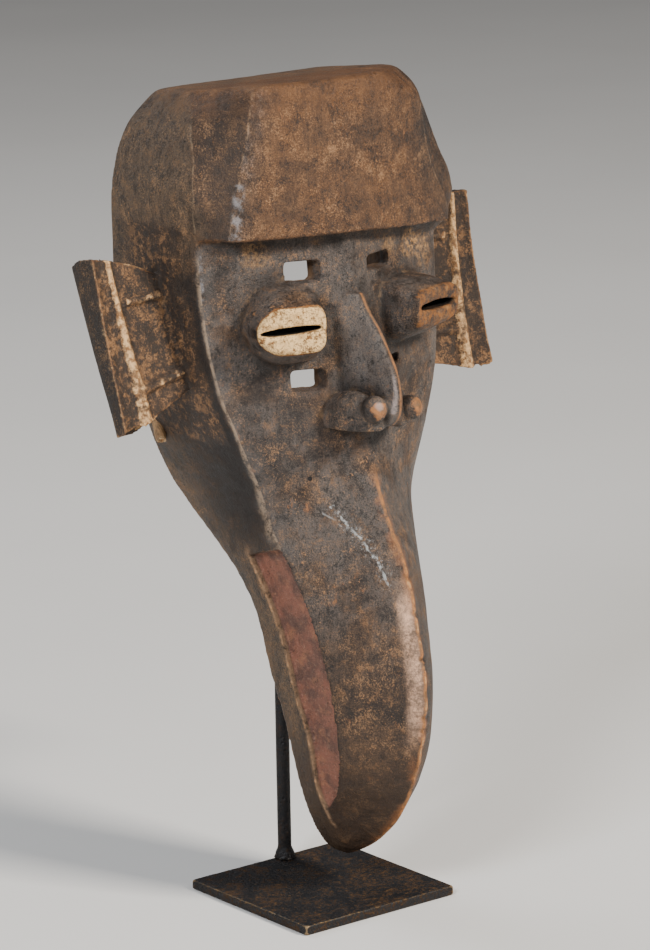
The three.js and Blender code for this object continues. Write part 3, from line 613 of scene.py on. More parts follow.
def eye_slit(side):
    """Lens that flares open towards the front, so that the lids' edges are rounded off."""
    steps = 40
    rings = []
    for level in SLIT_LEVELS:
        half_width, depth = level["half_width"], level["depth"]
        lower, upper = [], []
        for step in range(steps):
            t = step / steps
            tall = SLIT_END_HALF_HEIGHT + SLIT_HALF_HEIGHT * 4 * t * (1 - t) * level["flare"]
            lower.append((mix(-half_width, half_width, t), -tall))
            upper.append((mix(half_width, -half_width, t), tall))
        rings.append([
            eye_point(side, out - depth * SLIT_LEAN, depth, up + SLIT_UP - SLIT_TILT * out)
            for out, up in lower + upper
        ])
    return skin("eye_slit", rings)


def eyehole(hole):
    """Square hole whose wall nearest the nose slants outwards on its way in."""
    side = math.copysign(1, hole["x"])
    outer = hole["x"] + side * hole["half_width"]
    inner = hole["x"] - side * hole["half_width"]
    low, high = hole["z"] - hole["half_height"], hole["z"] + hole["half_height"]
    rings = []
    for y in (HOLE_START_Y, HOLE_MOUTH_Y, HOLE_END_Y):
        slanted = inner + side * max(y - HOLE_MOUTH_Y, 0) * hole["slant"]
        corners = ((outer, low), (slanted, low), (slanted, high), (outer, high))
        rings.append([(MIDDLE_X + x, y, z) for x, z in corners])
    return skin("eyehole", rings)


def ear_slab(ear):
    """An ear as a stack of cross sections: board, bead, groove and outer strip, then the back."""
    front_y, bottom_z, top_z = curve(ear["front"]), curve(ear["bottom"]), curve(ear["top"])
    rings = []
    for t in np.linspace(0, 1, 41):
        inner = mix(*EAR_RIM_INNER_X, t)
        groove = mix(*EAR_GROOVE_X, t)
        board = mix(*EAR_BOARD_SET_BACK, t)
        board_back = board + mix(*EAR_BOARD_THICKNESS, t)
        depth = mix(*EAR_RIM_DEPTH, t)
        crest = (inner + groove) / 2
        fall = mix(*ear["back_fall"], t)
        corners = [
            (EAR_ROOT_X, board, 0), (inner - 0.4, board, 0), (inner + 0.5, 1.5, 0),
            (mix(inner, crest, 0.5), 0.4, 0), (crest, 0, 0), (mix(crest, groove, 0.55), 0.5, 0),
            (groove, 2.9, 0), (mix(groove, EAR_OUTER_X, 0.5), 1.9, 0), (EAR_OUTER_X - 1.5, 0.3, 0),
            (EAR_OUTER_X - 0.4, 0, 0), (EAR_OUTER_X, 0.7, 0),
            (EAR_OUTER_X, 0.6 * depth, 0.36 * fall), (EAR_OUTER_X - 0.6, depth, fall),
            (inner + 1, depth, fall), (inner, max(depth - 1, board_back), fall),
            (inner - 1, board_back, 0), (EAR_ROOT_X, board_back, 0),
        ]
        ring = []
        for start, end in zip(corners, corners[1:] + corners[:1]):
            for share in (0, 0.34, 0.67):
                x, back, lower = (mix(a, b, share) for a, b in zip(start, end))
                z = mix(bottom_z(x), top_z(x), t)
                ring.append((MIDDLE_X + ear["side"] * x, front_y(z) + back, z - lower))
        rings.append(ring)
    return skin("ear", rings)


def ear_rib(ear, root_z, outer_z):
    """Rounded rib across an ear's board."""
    front_y = curve(ear["front"])
    rings = []
    for t in np.linspace(0, 1, 21):
        x = mix(EAR_ROOT_X, EAR_RIM_INNER_X[0] + 3, t)
        z = mix(root_z, outer_z, t)
        ring = []
        for step in range(16):
            angle = math.tau * step / 16
            height = z + EAR_RIB_HALF_HEIGHT * 1.15 * math.sin(angle)
            front = front_y(height) + EAR_BOARD_SET_BACK[1] - EAR_RIB_PROUD
            back = 2.4 * (1 - math.cos(angle))
            ring.append((MIDDLE_X + ear["side"] * x, front + back, height))
        rings.append(ring)
    return skin("ear_rib", rings)


def round_bar(name, start, end, radius):
    """Cylinder between two points in millimetres."""
    start, end = Vector(start) * MM, Vector(end) * MM
    run = end - start
    bm = bmesh.new()
    bmesh.ops.create_cone(bm, cap_ends=True, segments=48, radius1=radius * MM,
                          radius2=radius * MM, depth=run.length)
    turn = Vector((0, 0, 1)).rotation_difference(run).to_matrix()
    return keep(bm, name, (start + end) / 2, turn)


def points_of(mesh):
    co = np.empty(len(mesh.vertices) * 3)
    mesh.vertices.foreach_get("co", co)
    return co.reshape(-1, 3)


def put_points(mesh, co):
    mesh.vertices.foreach_set("co", co.ravel())
    mesh.update()


def normals_of(mesh):
    normals = np.empty(len(mesh.vertices) * 3)
    mesh.vertex_normals.foreach_get("vector", normals)
    return normals.reshape(-1, 3)


def edges_of(mesh):
    edges = np.empty(len(mesh.edges) * 2, np.int64)
    mesh.edges.foreach_get("vertices", edges)
    return edges.reshape(-1, 2)


def spread(values, edges, rounds):
    """Averages each point's value with its neighbours' a number of times."""
    a, b = edges.T
    count = np.bincount(edges.ravel(), minlength=len(values)) + 1.0
    for _ in range(rounds):
        total = values + np.bincount(a, values[b], len(values))
        values = (total + np.bincount(b, values[a], len(values))) / count
    return values


def convexity(mesh, rounds):
    """How far each point stands out of its neighbours, as curvature in 1/mm."""
    co, normals, edges = points_of(mesh) / MM, normals_of(mesh), edges_of(mesh)
    a, b = edges.T
    run = co[b] - co[a]
    length2 = np.maximum((run**2).sum(1), 1e-6)
    bend_a = -(normals[a] * run).sum(1) / length2
    bend_b = (normals[b] * run).sum(1) / length2
    total = np.bincount(a, bend_a, len(co)) + np.bincount(b, bend_b, len(co))
    count = np.bincount(edges.ravel(), minlength=len(co))
    return spread(total / np.maximum(count, 1), edges, rounds)


def store(mesh, name, values):
    """Keeps a value for each point, for the material to read."""
    attribute = mesh.attributes.new(name, "FLOAT", "POINT")
    attribute.data.foreach_set("value", np.ascontiguousarray(values, np.float32))


def ripple(co, size, seed):
    """Smooth noise between about -1 and 1 at each point, with waves of that size in millimetres."""
    shift = Vector((seed * 17.3, seed * 5.1, seed * 9.7))
    return np.array([noise.noise(Vector(point) / (size * MM) + shift) for point in co])


def tool_marks(co, size, stretch):
    """Depth of shallow gouge strokes: 0 on the ridges between them and 1 at their middles."""
    scaled = co / (np.array(stretch) * size * MM)
    nearest = np.array([noise.voronoi(Vector(point))[0][:2] for point in scaled])
    return np.clip(1 - nearest[:, 0] / np.maximum(nearest[:, 1], 1e-6), 0, 1) ** 0.5


def to_neighbours(co, edges, rounds):
    """The way from each point to the average of those around it."""
    return np.stack([spread(column, edges, rounds) for column in co.T], 1) - co


def carve_surface(mesh):
    """Softens the skin, most on the crown, and presses unevenness, strokes and nicks into it."""
    co, edges = points_of(mesh), edges_of(mesh)
    for share in SOFTENING:
        co = co + to_neighbours(co, edges, 1) * share
    crown = smooth(co[:, 2] / MM, CROWN_SOFT_FROM_Z, CROWN_SOFT_FULL_Z)[:, None]
    co = co + to_neighbours(co, edges, 40) * crown * CROWN_SOFTENING
    put_points(mesh, co)
    normals = normals_of(mesh)
    x, y, z = co.T / MM
    inside = hollow_share(x, y, z)
    strokes = tool_marks(co, 7, (1.1, 1.1, 2.4)) - 0.6
    push = 0.34 * ripple(co, 34, 1) + 0.13 * ripple(co, 9, 2)
    push += mix(0.11, 0.75, inside) * strokes
    lip = lip_share(x, y, z, normals)
    push += lip * 0.5 * ripple(co * (0.25, 1, 1.6), 4, 3)
    for height, reach, depth in KEEL_NOTCHES:
        near = np.exp(-(((z - height) / reach) ** 2)) * smooth(6.5 - np.abs(x - MIDDLE_X), 0, 6)
        push -= depth * near * (y < keel_y(z) + 8)
    co += normals * (push * MM)[:, None]
    low, high = np.array(CAD_BOX[0]), np.array(CAD_BOX[1])
    co = np.clip(co, low + (BOX_MARGIN, BOX_MARGIN, MASK_FOOT), high - BOX_MARGIN)
    put_points(mesh, co)


def widen_temple(mesh):
    """Draws the brow's left end outwards, where it overhangs the face more than on the right."""
    co = points_of(mesh)
    x, y, z = co.T / MM
    lip = brow_line(x)
    above_ear = smooth(z, 324, 334)
    reach = temple_reach(z) * mix(smooth(28 - y, 0, 14), smooth(60 - y, 0, 34), above_ear)
    reach *= smooth(x - MIDDLE_X, 26, 62) * (1 - smooth(x - MIDDLE_X, 76, 78) * (z < 326))
    co[:, 0] += reach * smooth(z, lip - 7, lip - 0.5) * MM
    put_points(mesh, co)


def hollow_share(x, y, z):
    """1 on the walls of the hollow behind the face, 0 outside."""
    across = np.abs(x - MIDDLE_X)
    share = np.minimum(across / hollow_edge_x(z), 1) ** 1.5
    front = mix(hollow_front_y(z), hollow_edge_y(z), share)
    within = smooth(hollow_rim_x(z) + 2.5 - across, 0, 1.5) * smooth(y - front, -4, -2.5)
    within *= smooth(rim_y(z) - y, -0.5, 1.5)
    return within * (z > HOLLOW_LOW_Z - 3) * (z < HOLLOW_TOP_Z + 3)


def lip_share(x, y, z, normals):
    """1 on the brow's underside and its lower edge."""
    low = brow_line(x)
    band = smooth(z, low - 9, low - 6) * smooth(low + 5 - z, 0, 3)
    band *= smooth(-normals[:, 2], 0.1, 0.5) * smooth(20 - y, 0, 6)
    return band * (np.abs(x - MIDDLE_X) < 74)


def brow_line(x):
    """Height of the brow's lower edge, which falls towards the mask's left."""
    return BROW_EDGE_Z - BROW_FALL * np.maximum(x - MIDDLE_X, 0)


def eye_frame(x, y, z):
    """Each point as outwards, back and up from the middle of its own side's eye."""
    dx = np.abs(x - MIDDLE_X) - EYE_CENTRE["x"]
    dy = y - EYE_CENTRE["y"]
    out = dx * math.cos(EYE_TURN) + dy * math.sin(EYE_TURN)
    back = dy * math.cos(EYE_TURN) - dx * math.sin(EYE_TURN)
    return out, back, z - EYE_CENTRE["z"]


def paint_regions(mesh):
    """Stores where the surface is worn, limed, reddened or raw, and where shade, sheens and
    highlights are painted, for the materials.
    """
    normals = normals_of(mesh)
    x, y, z = points_of(mesh).T / MM
    across = np.abs(x - MIDDLE_X)
    bend = convexity(mesh, 3)
    wall = side_x(y, z)
    mouth = smooth(wall - across, 0.7, 1.6) * smooth(y - edge_y(z), -0.2, 0.8)
    mouth *= smooth(mouth_back_y(z) - y, -0.6, 0.4) * smooth(z, MOUTH_LOW_Z - 1, MOUTH_LOW_Z + 2)
    mouth *= (z < MOUTH_FRONT_TOP_Z + 0.5) * (across > 5)
    store(mesh, "mouth", mouth)
    rim = smooth(5 - np.abs(y - edge_y(z)), 0, 3) * (z < MOUTH_FRONT_TOP_Z + 4) * (z > 40)
    store(mesh, "lip_edge", rim * smooth(edge_x(z) + 3 - across, 0, 2) * (across > 8))
    # Line along the mouth's back edge, where a highlight is painted
    mouth_step_highlight = smooth(1.5 - np.abs(y - mouth_back_y(z)), 0, 1.2) * smooth(across - wall, -1.5, -0.4)
    store(mesh, "mouth_step_highlight", mouth_step_highlight * (z > MOUTH_LOW_Z - 6) * (z < MOUTH_BACK_TOP_Z + 3) * (across > 8))
    store(mesh, "edge", smooth(bend, 0.05, 0.2))
    store(mesh, "hollow", smooth(-bend, 0.03, 0.14))
    # Broad hollows, where shade is painted
    store(mesh, "painted_hollow_shade", smooth(-spread(bend, edges_of(mesh), 60), 0.004, 0.03))

    out, back, up = eye_frame(x, y, z)
    lids = smooth(18.6 - np.abs(out), 0, 2) * smooth(12 - np.abs(up), 0, 1.4)
    lids *= smooth(4.2 - back, 0, 1.4) * smooth(back, -6, -4)
    off_slit = np.abs(up - SLIT_UP + SLIT_TILT * out)
    slit = smooth(2.6 - off_slit, 0, 1) * smooth(back, 1, 2.6) * smooth(17.8 - np.abs(out), 0, 1)
    store(mesh, "lids", lids * np.where(x < MIDDLE_X, 1, 0.5))
    store(mesh, "slit", slit * smooth(30 - back, 0, 4))

    high = np.clip((z - EAR_RIM_LOW_Z) / (EAR_RIM_HIGH_Z - EAR_RIM_LOW_Z), 0, 1)
    bead_in, bead_out = mix(*EAR_RIM_INNER_X, high), mix(*EAR_GROOVE_X, high)
    ear = smooth(across - wall, 0.8, 2.4) * (z > EAR_LOW_Z) * (z < EAR_HIGH_Z) * (y > 4)
    facing = smooth(-normals[:, 1], 0.1, 0.5)
    bead = smooth(across, bead_in - 0.8, bead_in + 0.6) * smooth(bead_out - across, 0, 1) * facing
    outer_wall = ear * smooth(np.abs(normals[:, 0]), 0.5, 0.8) * smooth(across, 108, 110)
    store(mesh, "ear", ear)
    ribs = np.zeros(len(x))
    for ear_shape in EARS:
        share = (across - EAR_ROOT_X) / (EAR_RIM_INNER_X[0] + 3 - EAR_ROOT_X)
        for root_z, outer_z in ear_shape["ribs"]:
            band = smooth(3 - np.abs(z - mix(root_z, outer_z, share)), 0, 1.5)
            ribs = np.maximum(ribs, band * (np.sign(x - MIDDLE_X) == ear_shape["side"]))
    store(mesh, "rib", ribs * ear * facing * smooth(bead_in - across, 0, 2))
    store(mesh, "bead", bead * ear)
    store(mesh, "ear_side", outer_wall)
    store(mesh, "inside", hollow_share(x, y, z))
    store(mesh, "lip", lip_share(x, y, z, normals))
    nose = smooth(24 - across, 0, 3) * smooth(face_y(across, z) - 1.5 - y, 0, 2)
    nose *= (z > NOSE_LOW_Z - 2) * (z < NOSE_TOP_Z)
    store(mesh, "nose", nose * smooth(2.6 - across, 0, 2.2))
    store(mesh, "nose_plane", nose * (x < MIDDLE_X - 1))
    keel = smooth(4.5 - across, 0, 3) * smooth(218 - z, 0, 14) * smooth(keel_y(z) + 6 - y, 0, 5)
    store(mesh, "keel", keel)
    # Strip beside the keel where a pale sheen is painted
    painted_keel_sheen = smooth(MIDDLE_X + 1 - x, 0, 3) * smooth(14 - across, 0, 8) * smooth(z, 78, 112)
    store(mesh, "painted_keel_sheen", painted_keel_sheen * smooth(172 - z, 0, 28) * smooth(-normals[:, 1], 0.1, 0.4))
    store(mesh, "past_cheek", np.clip(across - edge_x(z), -20, 20))
    cheek = smooth(16 - y, 0, 8) * smooth(z, 172, 182) * smooth(320 - z, 0, 6)
    store(mesh, "cheek", cheek * (1 - ear))
    store(mesh, "past_corner", np.clip(across - ridge_x(z), -20, 20))
    store(mesh, "corner", smooth(14 - y, 0, 6) * smooth(z, 324, 327) * smooth(398 - z, 0, 8))
    above = smooth(z - brow_line(x), -3, 1)
    beside = mix(smooth(y - edge_y(z), -0.5, 2.5), smooth(y - temple_y(z), -1, 2), above)
    store(mesh, "brow", above * (1 - beside))
    store(mesh, "side", beside * (1 - ear))
    # Where a grey sheen is painted: the face below the brow and the upper beak
    painted_sheen_area = smooth(z, 105, 172) * (1 - above) * (1 - beside)
    store(mesh, "painted_sheen_area", painted_sheen_area * (1 - lids) * (1 - ear))
    # Where shade is painted: the side of the head towards -X, below the ear and near the face's
    # corner
    low_side = beside * smooth(340 - z, 0, 60) * smooth(z - 150, 0, 50) * (1 - ear)
    store(mesh, "painted_side_shade", low_side * smooth(edge_y(z) + 62 - y, 0, 40) * (x < MIDDLE_X))


class Wire:
    """A node's output that takes part in sums and products."""

    def __init__(self, tree, output):
        self.tree = tree
        self.output = output

    def maths(self, operation, other=0.0, first=True, clamp=False):
        pair = (self, other) if first else (other, self)
        settings = {"operation": operation, "use_clamp": clamp}
        return self.tree.node("Math", settings, dict(enumerate(pair)))

    def __add__(self, other):
        return self.maths("ADD", other)

    def __radd__(self, other):
        return self.maths("ADD", other)

    def __sub__(self, other):
        return self.maths("SUBTRACT", other)

    def __rsub__(self, other):
        return self.maths("SUBTRACT", other, first=False)

    def __mul__(self, other):
        return self.maths("MULTIPLY", other)

    def __rmul__(self, other):
        return self.maths("MULTIPLY", other)

    def __truediv__(self, other):
        return self.maths("DIVIDE", other)

    def __rtruediv__(self, other):
        return self.maths("DIVIDE", other, first=False)

    def ramp(self, low, high, to_low=0.0, to_high=1.0):
        """Goes smoothly from to_low to to_high while this goes from low to high."""
        settings = {"interpolation_type": "SMOOTHSTEP"}
        inputs = {"Value": self, 1: low, 2: high, 3: to_low, 4: to_high}
        return self.tree.node("MapRange", settings, inputs)

    def fall(self, low, high):
        """Goes smoothly from 1 to 0 while this goes from low to high."""
        return self.ramp(low, high, 1.0, 0.0)

    def line(self, low, high):
        """1 where this is near 0, on either side, gone at high."""
        return self.maths("ABSOLUTE").fall(low, high)

    def clipped(self):
        return self.maths("ADD", 0.0, clamp=True)


class Tree:
    """A material's nodes, added one at a time."""

    def __init__(self, name):
        self.material = bpy.data.materials.new(name)
        self.material.use_nodes = True
        self.nodes = self.material.node_tree.nodes
        self.links = self.material.node_tree.links
        self.surface = self.nodes["Principled BSDF"]
        self.place = self.node("TexCoord", output="Object")
        self.colour = None

    def node(self, kind, settings=None, inputs=None, output=0):
        """Adds a node: its settings first, then the values or links of its inputs."""
        made = self.nodes.new("ShaderNode" + kind)
        for setting, value in (settings or {}).items():
            setattr(made, setting, value)
        self.plug(made, inputs or {})
        return Wire(self, made.outputs[output])

    def plug(self, made, inputs):
        for socket, value in inputs.items():
            if isinstance(value, Wire):
                self.links.new(value.output, made.inputs[socket])
            else:
                made.inputs[socket].default_value = value

    def millimetres(self, axis):
        return self.node("SeparateXYZ", None, {0: self.place}, output=axis) / MM

    def attribute(self, name):
        return self.node("Attribute", {"attribute_name": name}, output="Fac")

    def mixed(self, share, a, b):
        a, b = (value if isinstance(value, Wire) else rgba(value) for value in (a, b))
        return self.node("Mix", {"data_type": "RGBA"}, {0: share, 6: a, 7: b}, output=2)

    def layered(self, colour, *layers):
        """A colour with others laid over it in turn, each given as (share, colour)."""
        for share, over in layers:
            colour = self.mixed(share, colour, over)
        return colour

    def lay(self, share, colour):
        """Lays a colour over the surface as it is so far."""
        self.colour = self.mixed(share, self.colour, colour)

    def stretched(self, scale):
        """Object coordinates in millimetres divided by a size in each direction."""
        inputs = {"Vector": self.place, "Scale": [1 / (MM * size) for size in scale]}
        return self.node("Mapping", None, inputs)

    def noise(self, size, detail=3.0, rough=0.55, bend=0.0, stretch=(1, 1, 1)):
        """Cloudy noise with blotches of about that many millimetres."""
        inputs = {
            "Vector": self.stretched([size * s for s in stretch]),
            "Scale": 1.0, "Detail": detail, "Roughness": rough, "Distortion": bend,
        }
        return self.node("TexNoise", None, inputs, output="Fac")

    def cells(self, size):
        """Distance to the nearest of scattered points, about that many millimetres apart."""
        inputs = {"Vector": self.stretched([size] * 3), "Scale": 1.0}
        return self.node("TexVoronoi", None, inputs, output="Distance")

    def vector(self, operation, *inputs, output="Vector", **named):
        plugs = {**dict(enumerate(inputs)), **named}
        return self.node("VectorMath", {"operation": operation}, plugs, output)

    def distance_to(self, point):
        """Millimetres from a point of the part, given in millimetres."""
        point = [value * MM for value in point]
        return self.vector("DISTANCE", self.place, point, output="Value") / MM

    def finish(self, rough, height, depth, **constants):
        """Plugs in the surface's colour, roughness and relief, which is depth millimetres deep."""
        bump = self.node("Bump", None, {"Height": height, "Distance": depth * MM, "Strength": 1.0})
        self.plug(self.surface, {"Base Color": self.colour, "Roughness": rough, "Normal": bump})
        for socket, value in constants.items():
            self.surface.inputs[socket.replace("_", " ")].default_value = value
        return self.material


def rgba(colour):
    return (*colour[:3], 1.0)


def spot(tree, point, radius):
    """1 near a point, fading at the radius with a ragged edge."""
    ragged = tree.distance_to(point) + (tree.noise(3, 2) - 0.5) * radius * 0.9
    return ragged.fall(radius * 0.5, radius * 1.3)


def scratch(tree, points, width, wobble):
    """1 along a wandering line through points given in millimetres."""
    inputs = {"Vector": tree.stretched((5, 5, 5)), "Scale": 1.0}
    drift = tree.vector("SUBTRACT", tree.node("TexNoise", None, inputs, "Color"), (0.5, 0.5, 0.5))
    place = tree.vector("ADD", tree.place, tree.vector("SCALE", drift, Scale=wobble * MM))
    total = None
    for start, end in zip(points, points[1:]):
        run = Vector(end) * MM - Vector(start) * MM
        offset = tree.vector("SUBTRACT", place, Vector(start) * MM)
        dot = tree.vector("DOT_PRODUCT", offset, run, output="Value")
        foot = tree.vector("SCALE", run, Scale=(dot / run.length_squared).clipped())
        away = tree.vector("DISTANCE", offset, foot, output="Value") / MM
        line = away.fall(width * 0.35, width)
        total = line if total is None else total.maths("MAXIMUM", line)
    return total


# Values stored on the mask's skin that say where each coat lies
REGIONS = (
    "edge", "keel", "nose", "nose_plane", "ear", "bead", "ear_side", "lids", "slit", "mouth",
    "inside", "painted_hollow_shade", "hollow", "lip", "cheek", "past_cheek", "corner", "past_corner",
    "brow", "painted_keel_sheen", "lip_edge", "rib", "mouth_step_highlight", "side", "painted_sheen_area", "painted_side_shade",
)


class MaskTree(Tree):
    """The mask's nodes, with the noises and stored regions that its coats share."""

    def __init__(self, looks):
        super().__init__("patinated_wood")
        self.looks = looks
        self.across, self.height = self.millimetres("X"), self.millimetres("Z")
        self.clouds = self.noise(38, 6, 0.62, 0.4)
        self.mottle = self.noise(8, 7, 0.72, 0.3)
        self.grit = self.noise(1.4, 4, 0.8)
        self.fine = self.noise(3.2, 5, 0.78)
        self.grain = self.noise(2.2, 5, 0.65, 0.6, stretch=(1, 1, 5))
        self.patches = self.noise(15, 4, 0.6)
        self.wear_noise = self.noise(5, 6, 0.75)
        self.speck = self.noise(0.8, 3, 0.8) + (self.mottle - 0.5) * 0.7
        self.wing = self.distance_to((-4, -37, 243)).fall(12, 17)
        self.at = {name: self.attribute(name) for name in REGIONS}
        self.outside = 1 - self.at["inside"]


def lay_patina(wood):
    """Patina all over, with its cloudy, specked and pitted tones, a painted grey sheen on the face
    and painted shade low on one side.
    """
    clouds, mottle, grit, fine, patches, speck, at = (
        wood.clouds, wood.mottle, wood.grit, wood.fine, wood.patches, wood.speck, wood.at)
    wood.colour = wood.mixed(clouds.ramp(0.36, 0.6), wood.looks.patina, wood.looks.wood)
    wood.lay(at["side"] * (1 - at["painted_side_shade"]) * 0.65, (0.13, 0.088, 0.054))
    front = at["past_corner"].ramp(-16, 1, 1.0, 0.12)
    warmth = at["brow"] * front * (clouds + patches * 0.6).ramp(0.55, 0.95, 0.24, 0.76)
    wood.lay(warmth, (0.15, 0.064, 0.021))
    # Painted grey sheen over the face, the upper beak and the nose's side
    grey_sheen = at["painted_sheen_area"] * wood.noise(20, 5, 0.6, 0.5).ramp(0.34, 0.58)
    grey_sheen = (grey_sheen * 0.7 + at["nose_plane"] * 0.5).clipped()
    wood.lay(grey_sheen, (0.098, 0.088, 0.082))
    wood.lay(wood.wing * 0.6, (0.036, 0.025, 0.018))
    below_eye = wood.distance_to((-33, -10, 232)).fall(14, 34) * patches.ramp(0.3, 0.5)
    wood.lay(below_eye * 0.8, (0.03, 0.0245, 0.0225))
    wood.lay(wood.grain.ramp(0.5, 0.64) * 0.45, (0.018, 0.011, 0.008))
    tan = (mottle + (fine - 0.5) * 0.9).ramp(0.55, 0.7)
    tan = tan * clouds.ramp(0.3, 0.6, 0.3, 0.75) * (1 - at["brow"] * 0.6)
    tan = tan * (1 - at["painted_sheen_area"] * 0.45) * (1 - at["side"] * 0.5)
    wood.lay(tan, wood.looks.ochre)
    dusty = patches.ramp(0.4, 0.6, 0.3, 1.0) * (0.45 - at["painted_sheen_area"] * 0.08)
    wood.lay(speck.ramp(0.52, 0.66) * dusty * 1.25, (0.37, 0.21, 0.105))
    wood.lay(speck.ramp(0.46, 0.36) * 0.7, (0.009, 0.0068, 0.0056))
    dark = (mottle + (grit - 0.5) * 0.7).ramp(0.45, 0.34) * (1 - at["brow"] * 0.4)
    wood.lay(dark * 0.6, (0.013, 0.0095, 0.0075))
    flecks = (fine + (grit - 0.5) * 1.1).ramp(0.66, 0.76) * patches.ramp(0.46, 0.64, 0.12, 1.0)
    wood.lay(flecks * 0.8, (0.46, 0.22, 0.085))
    scuffs = wood.noise(7, 5, 0.7, 0.3, stretch=(1, 1, 1.6)).ramp(0.6, 0.7)
    scuffs = scuffs * patches.ramp(0.5, 0.62) * (1 - at["side"] * 0.6)
    wood.lay(scuffs * 0.6, (0.34, 0.135, 0.045))
    pitch = wood.noise(24, 5, 0.6, 0.3).ramp(0.42, 0.3) * wood.outside * (0.62 - at["brow"] * 0.4)
    wood.lay(pitch, (0.017, 0.0125, 0.0105))
    wood.lay(grit.ramp(0.44, 0.33) * 0.75, (0.007, 0.0055, 0.0045))
    # Painted shade low on the side of the head, under the ear
    wood.lay(at["painted_side_shade"] * 0.84, (0.013, 0.0098, 0.0085))


def lay_shade(wood):
    """Darker and duller places: the lower beak, the crown, and dirt and painted shade in the
    hollows; and a painted grey sheen on the nose's side.
    """
    at, outside, height = wood.at, wood.outside, wood.height
    low = height.fall(60, 105) * outside * (1 - at["mouth"])
    wood.lay(low * 0.7, (0.036, 0.0195, 0.0105))
    top = height.ramp(376, 392) * wood.mottle.ramp(0.35, 0.6, 0.3, 1.0) * outside
    wood.lay(top * 0.5, (0.15, 0.064, 0.022))
    # Painted grey sheen on the nose's side
    nose_side_sheen = at["nose_plane"] * (1 - wood.wing) * wood.fine.ramp(0.4, 0.6)
    wood.lay(nose_side_sheen * 0.6, (0.14, 0.11, 0.092))
    # Dirt darkens the creases and painted shade darkens the broad hollows
    shade = (at["hollow"] * 0.7 + at["painted_hollow_shade"] * 0.6).clipped() * outside
    wood.lay(shade * 0.7, (0.012, 0.008, 0.006))
    dust = at["hollow"] * wood.noise(5, 4).ramp(0.5, 0.7) * outside
    wood.lay(dust * 0.4, (0.32, 0.19, 0.09))


def lay_wear(wood):
    """Edges that hands have rubbed bright, the keel and the nose's ridge, with painted sheens and
    highlights.
    """
    grit, fine, patches, wear_noise, at, across = (
        wood.grit, wood.fine, wood.patches, wood.wear_noise, wood.at, wood.across)
    held = (1 - at["lip_edge"] * 0.85) * (1 - at["brow"] * 0.6) * (1 - at["cheek"] * 0.7)
    worn = at["edge"] * held * 0.9 + at["ear"] * 0.08
    # Nostril balls' fronts lightened, partly as wear and partly as painted highlight
    worn_ball_glint = spot(wood, (0.5, -51, 247), 6) + spot(wood, (24, -49, 246), 6)
    worn = (worn + worn_ball_glint * 0.85).clipped() * wood.looks.wear
    rubbed = (worn * 1.1 + (wear_noise - 0.5) * 2.2).ramp(0.55, 1.0) * worn.ramp(0.05, 0.35)
    tone = wood.mixed(fine.ramp(0.38, 0.62), wood.looks.worn, (0.24, 0.12, 0.05))
    wood.lay(rubbed * 0.8, tone)
    wander = (wood.noise(6, 3) - 0.5) * 2.4
    off_keel = across - MIDDLE_X + wander
    blush = off_keel.line(3, 13) * at["keel"] * patches.ramp(0.44, 0.6)
    wood.lay(blush * 0.5, (0.32, 0.12, 0.038))
    # Painted sheen in a pale strip beside the keel
    band = (across - (MIDDLE_X - 3.2) + wander).line(0.6, 5) * at["painted_keel_sheen"]
    band = band * (fine * 0.7 + patches * 0.5 + grit * 0.4).ramp(0.62, 0.96, 0.2, 1.0)
    wood.lay(band * 0.85, (0.9, 0.56, 0.37))
    line = off_keel.line(0.5, 1.5) * at["keel"] * (wear_noise + grit * 0.3).ramp(0.52, 0.64)
    wood.lay(line * 0.85 * wood.looks.wear, tone)
    bare = (at["edge"] * held * wood.outside + (wear_noise - 0.5) * 1.8).ramp(0.8, 1.3)
    wood.lay(bare * 0.7, (0.6, 0.38, 0.18))
    line = (across - MIDDLE_X - 1.2 + wander * 0.6).line(0.5, 1.5) * at["nose"]
    line = line * (wear_noise + grit * 0.3).ramp(0.5, 0.62)
    wood.lay(line * 0.85 * wood.looks.wear, tone)
    # Painted sheen down the nose's side and a painted highlight near its tip
    gleam = scratch(wood, NOSE_SHEEN, 2.2, 1.5) * fine.ramp(0.34, 0.6, 0.3, 1.0)
    gleam = (gleam + spot(wood, (-1, -51, 249.5), 2.4) * 0.9).clipped()
    wood.lay(gleam * 0.6, (0.46, 0.38, 0.36))
    return rubbed


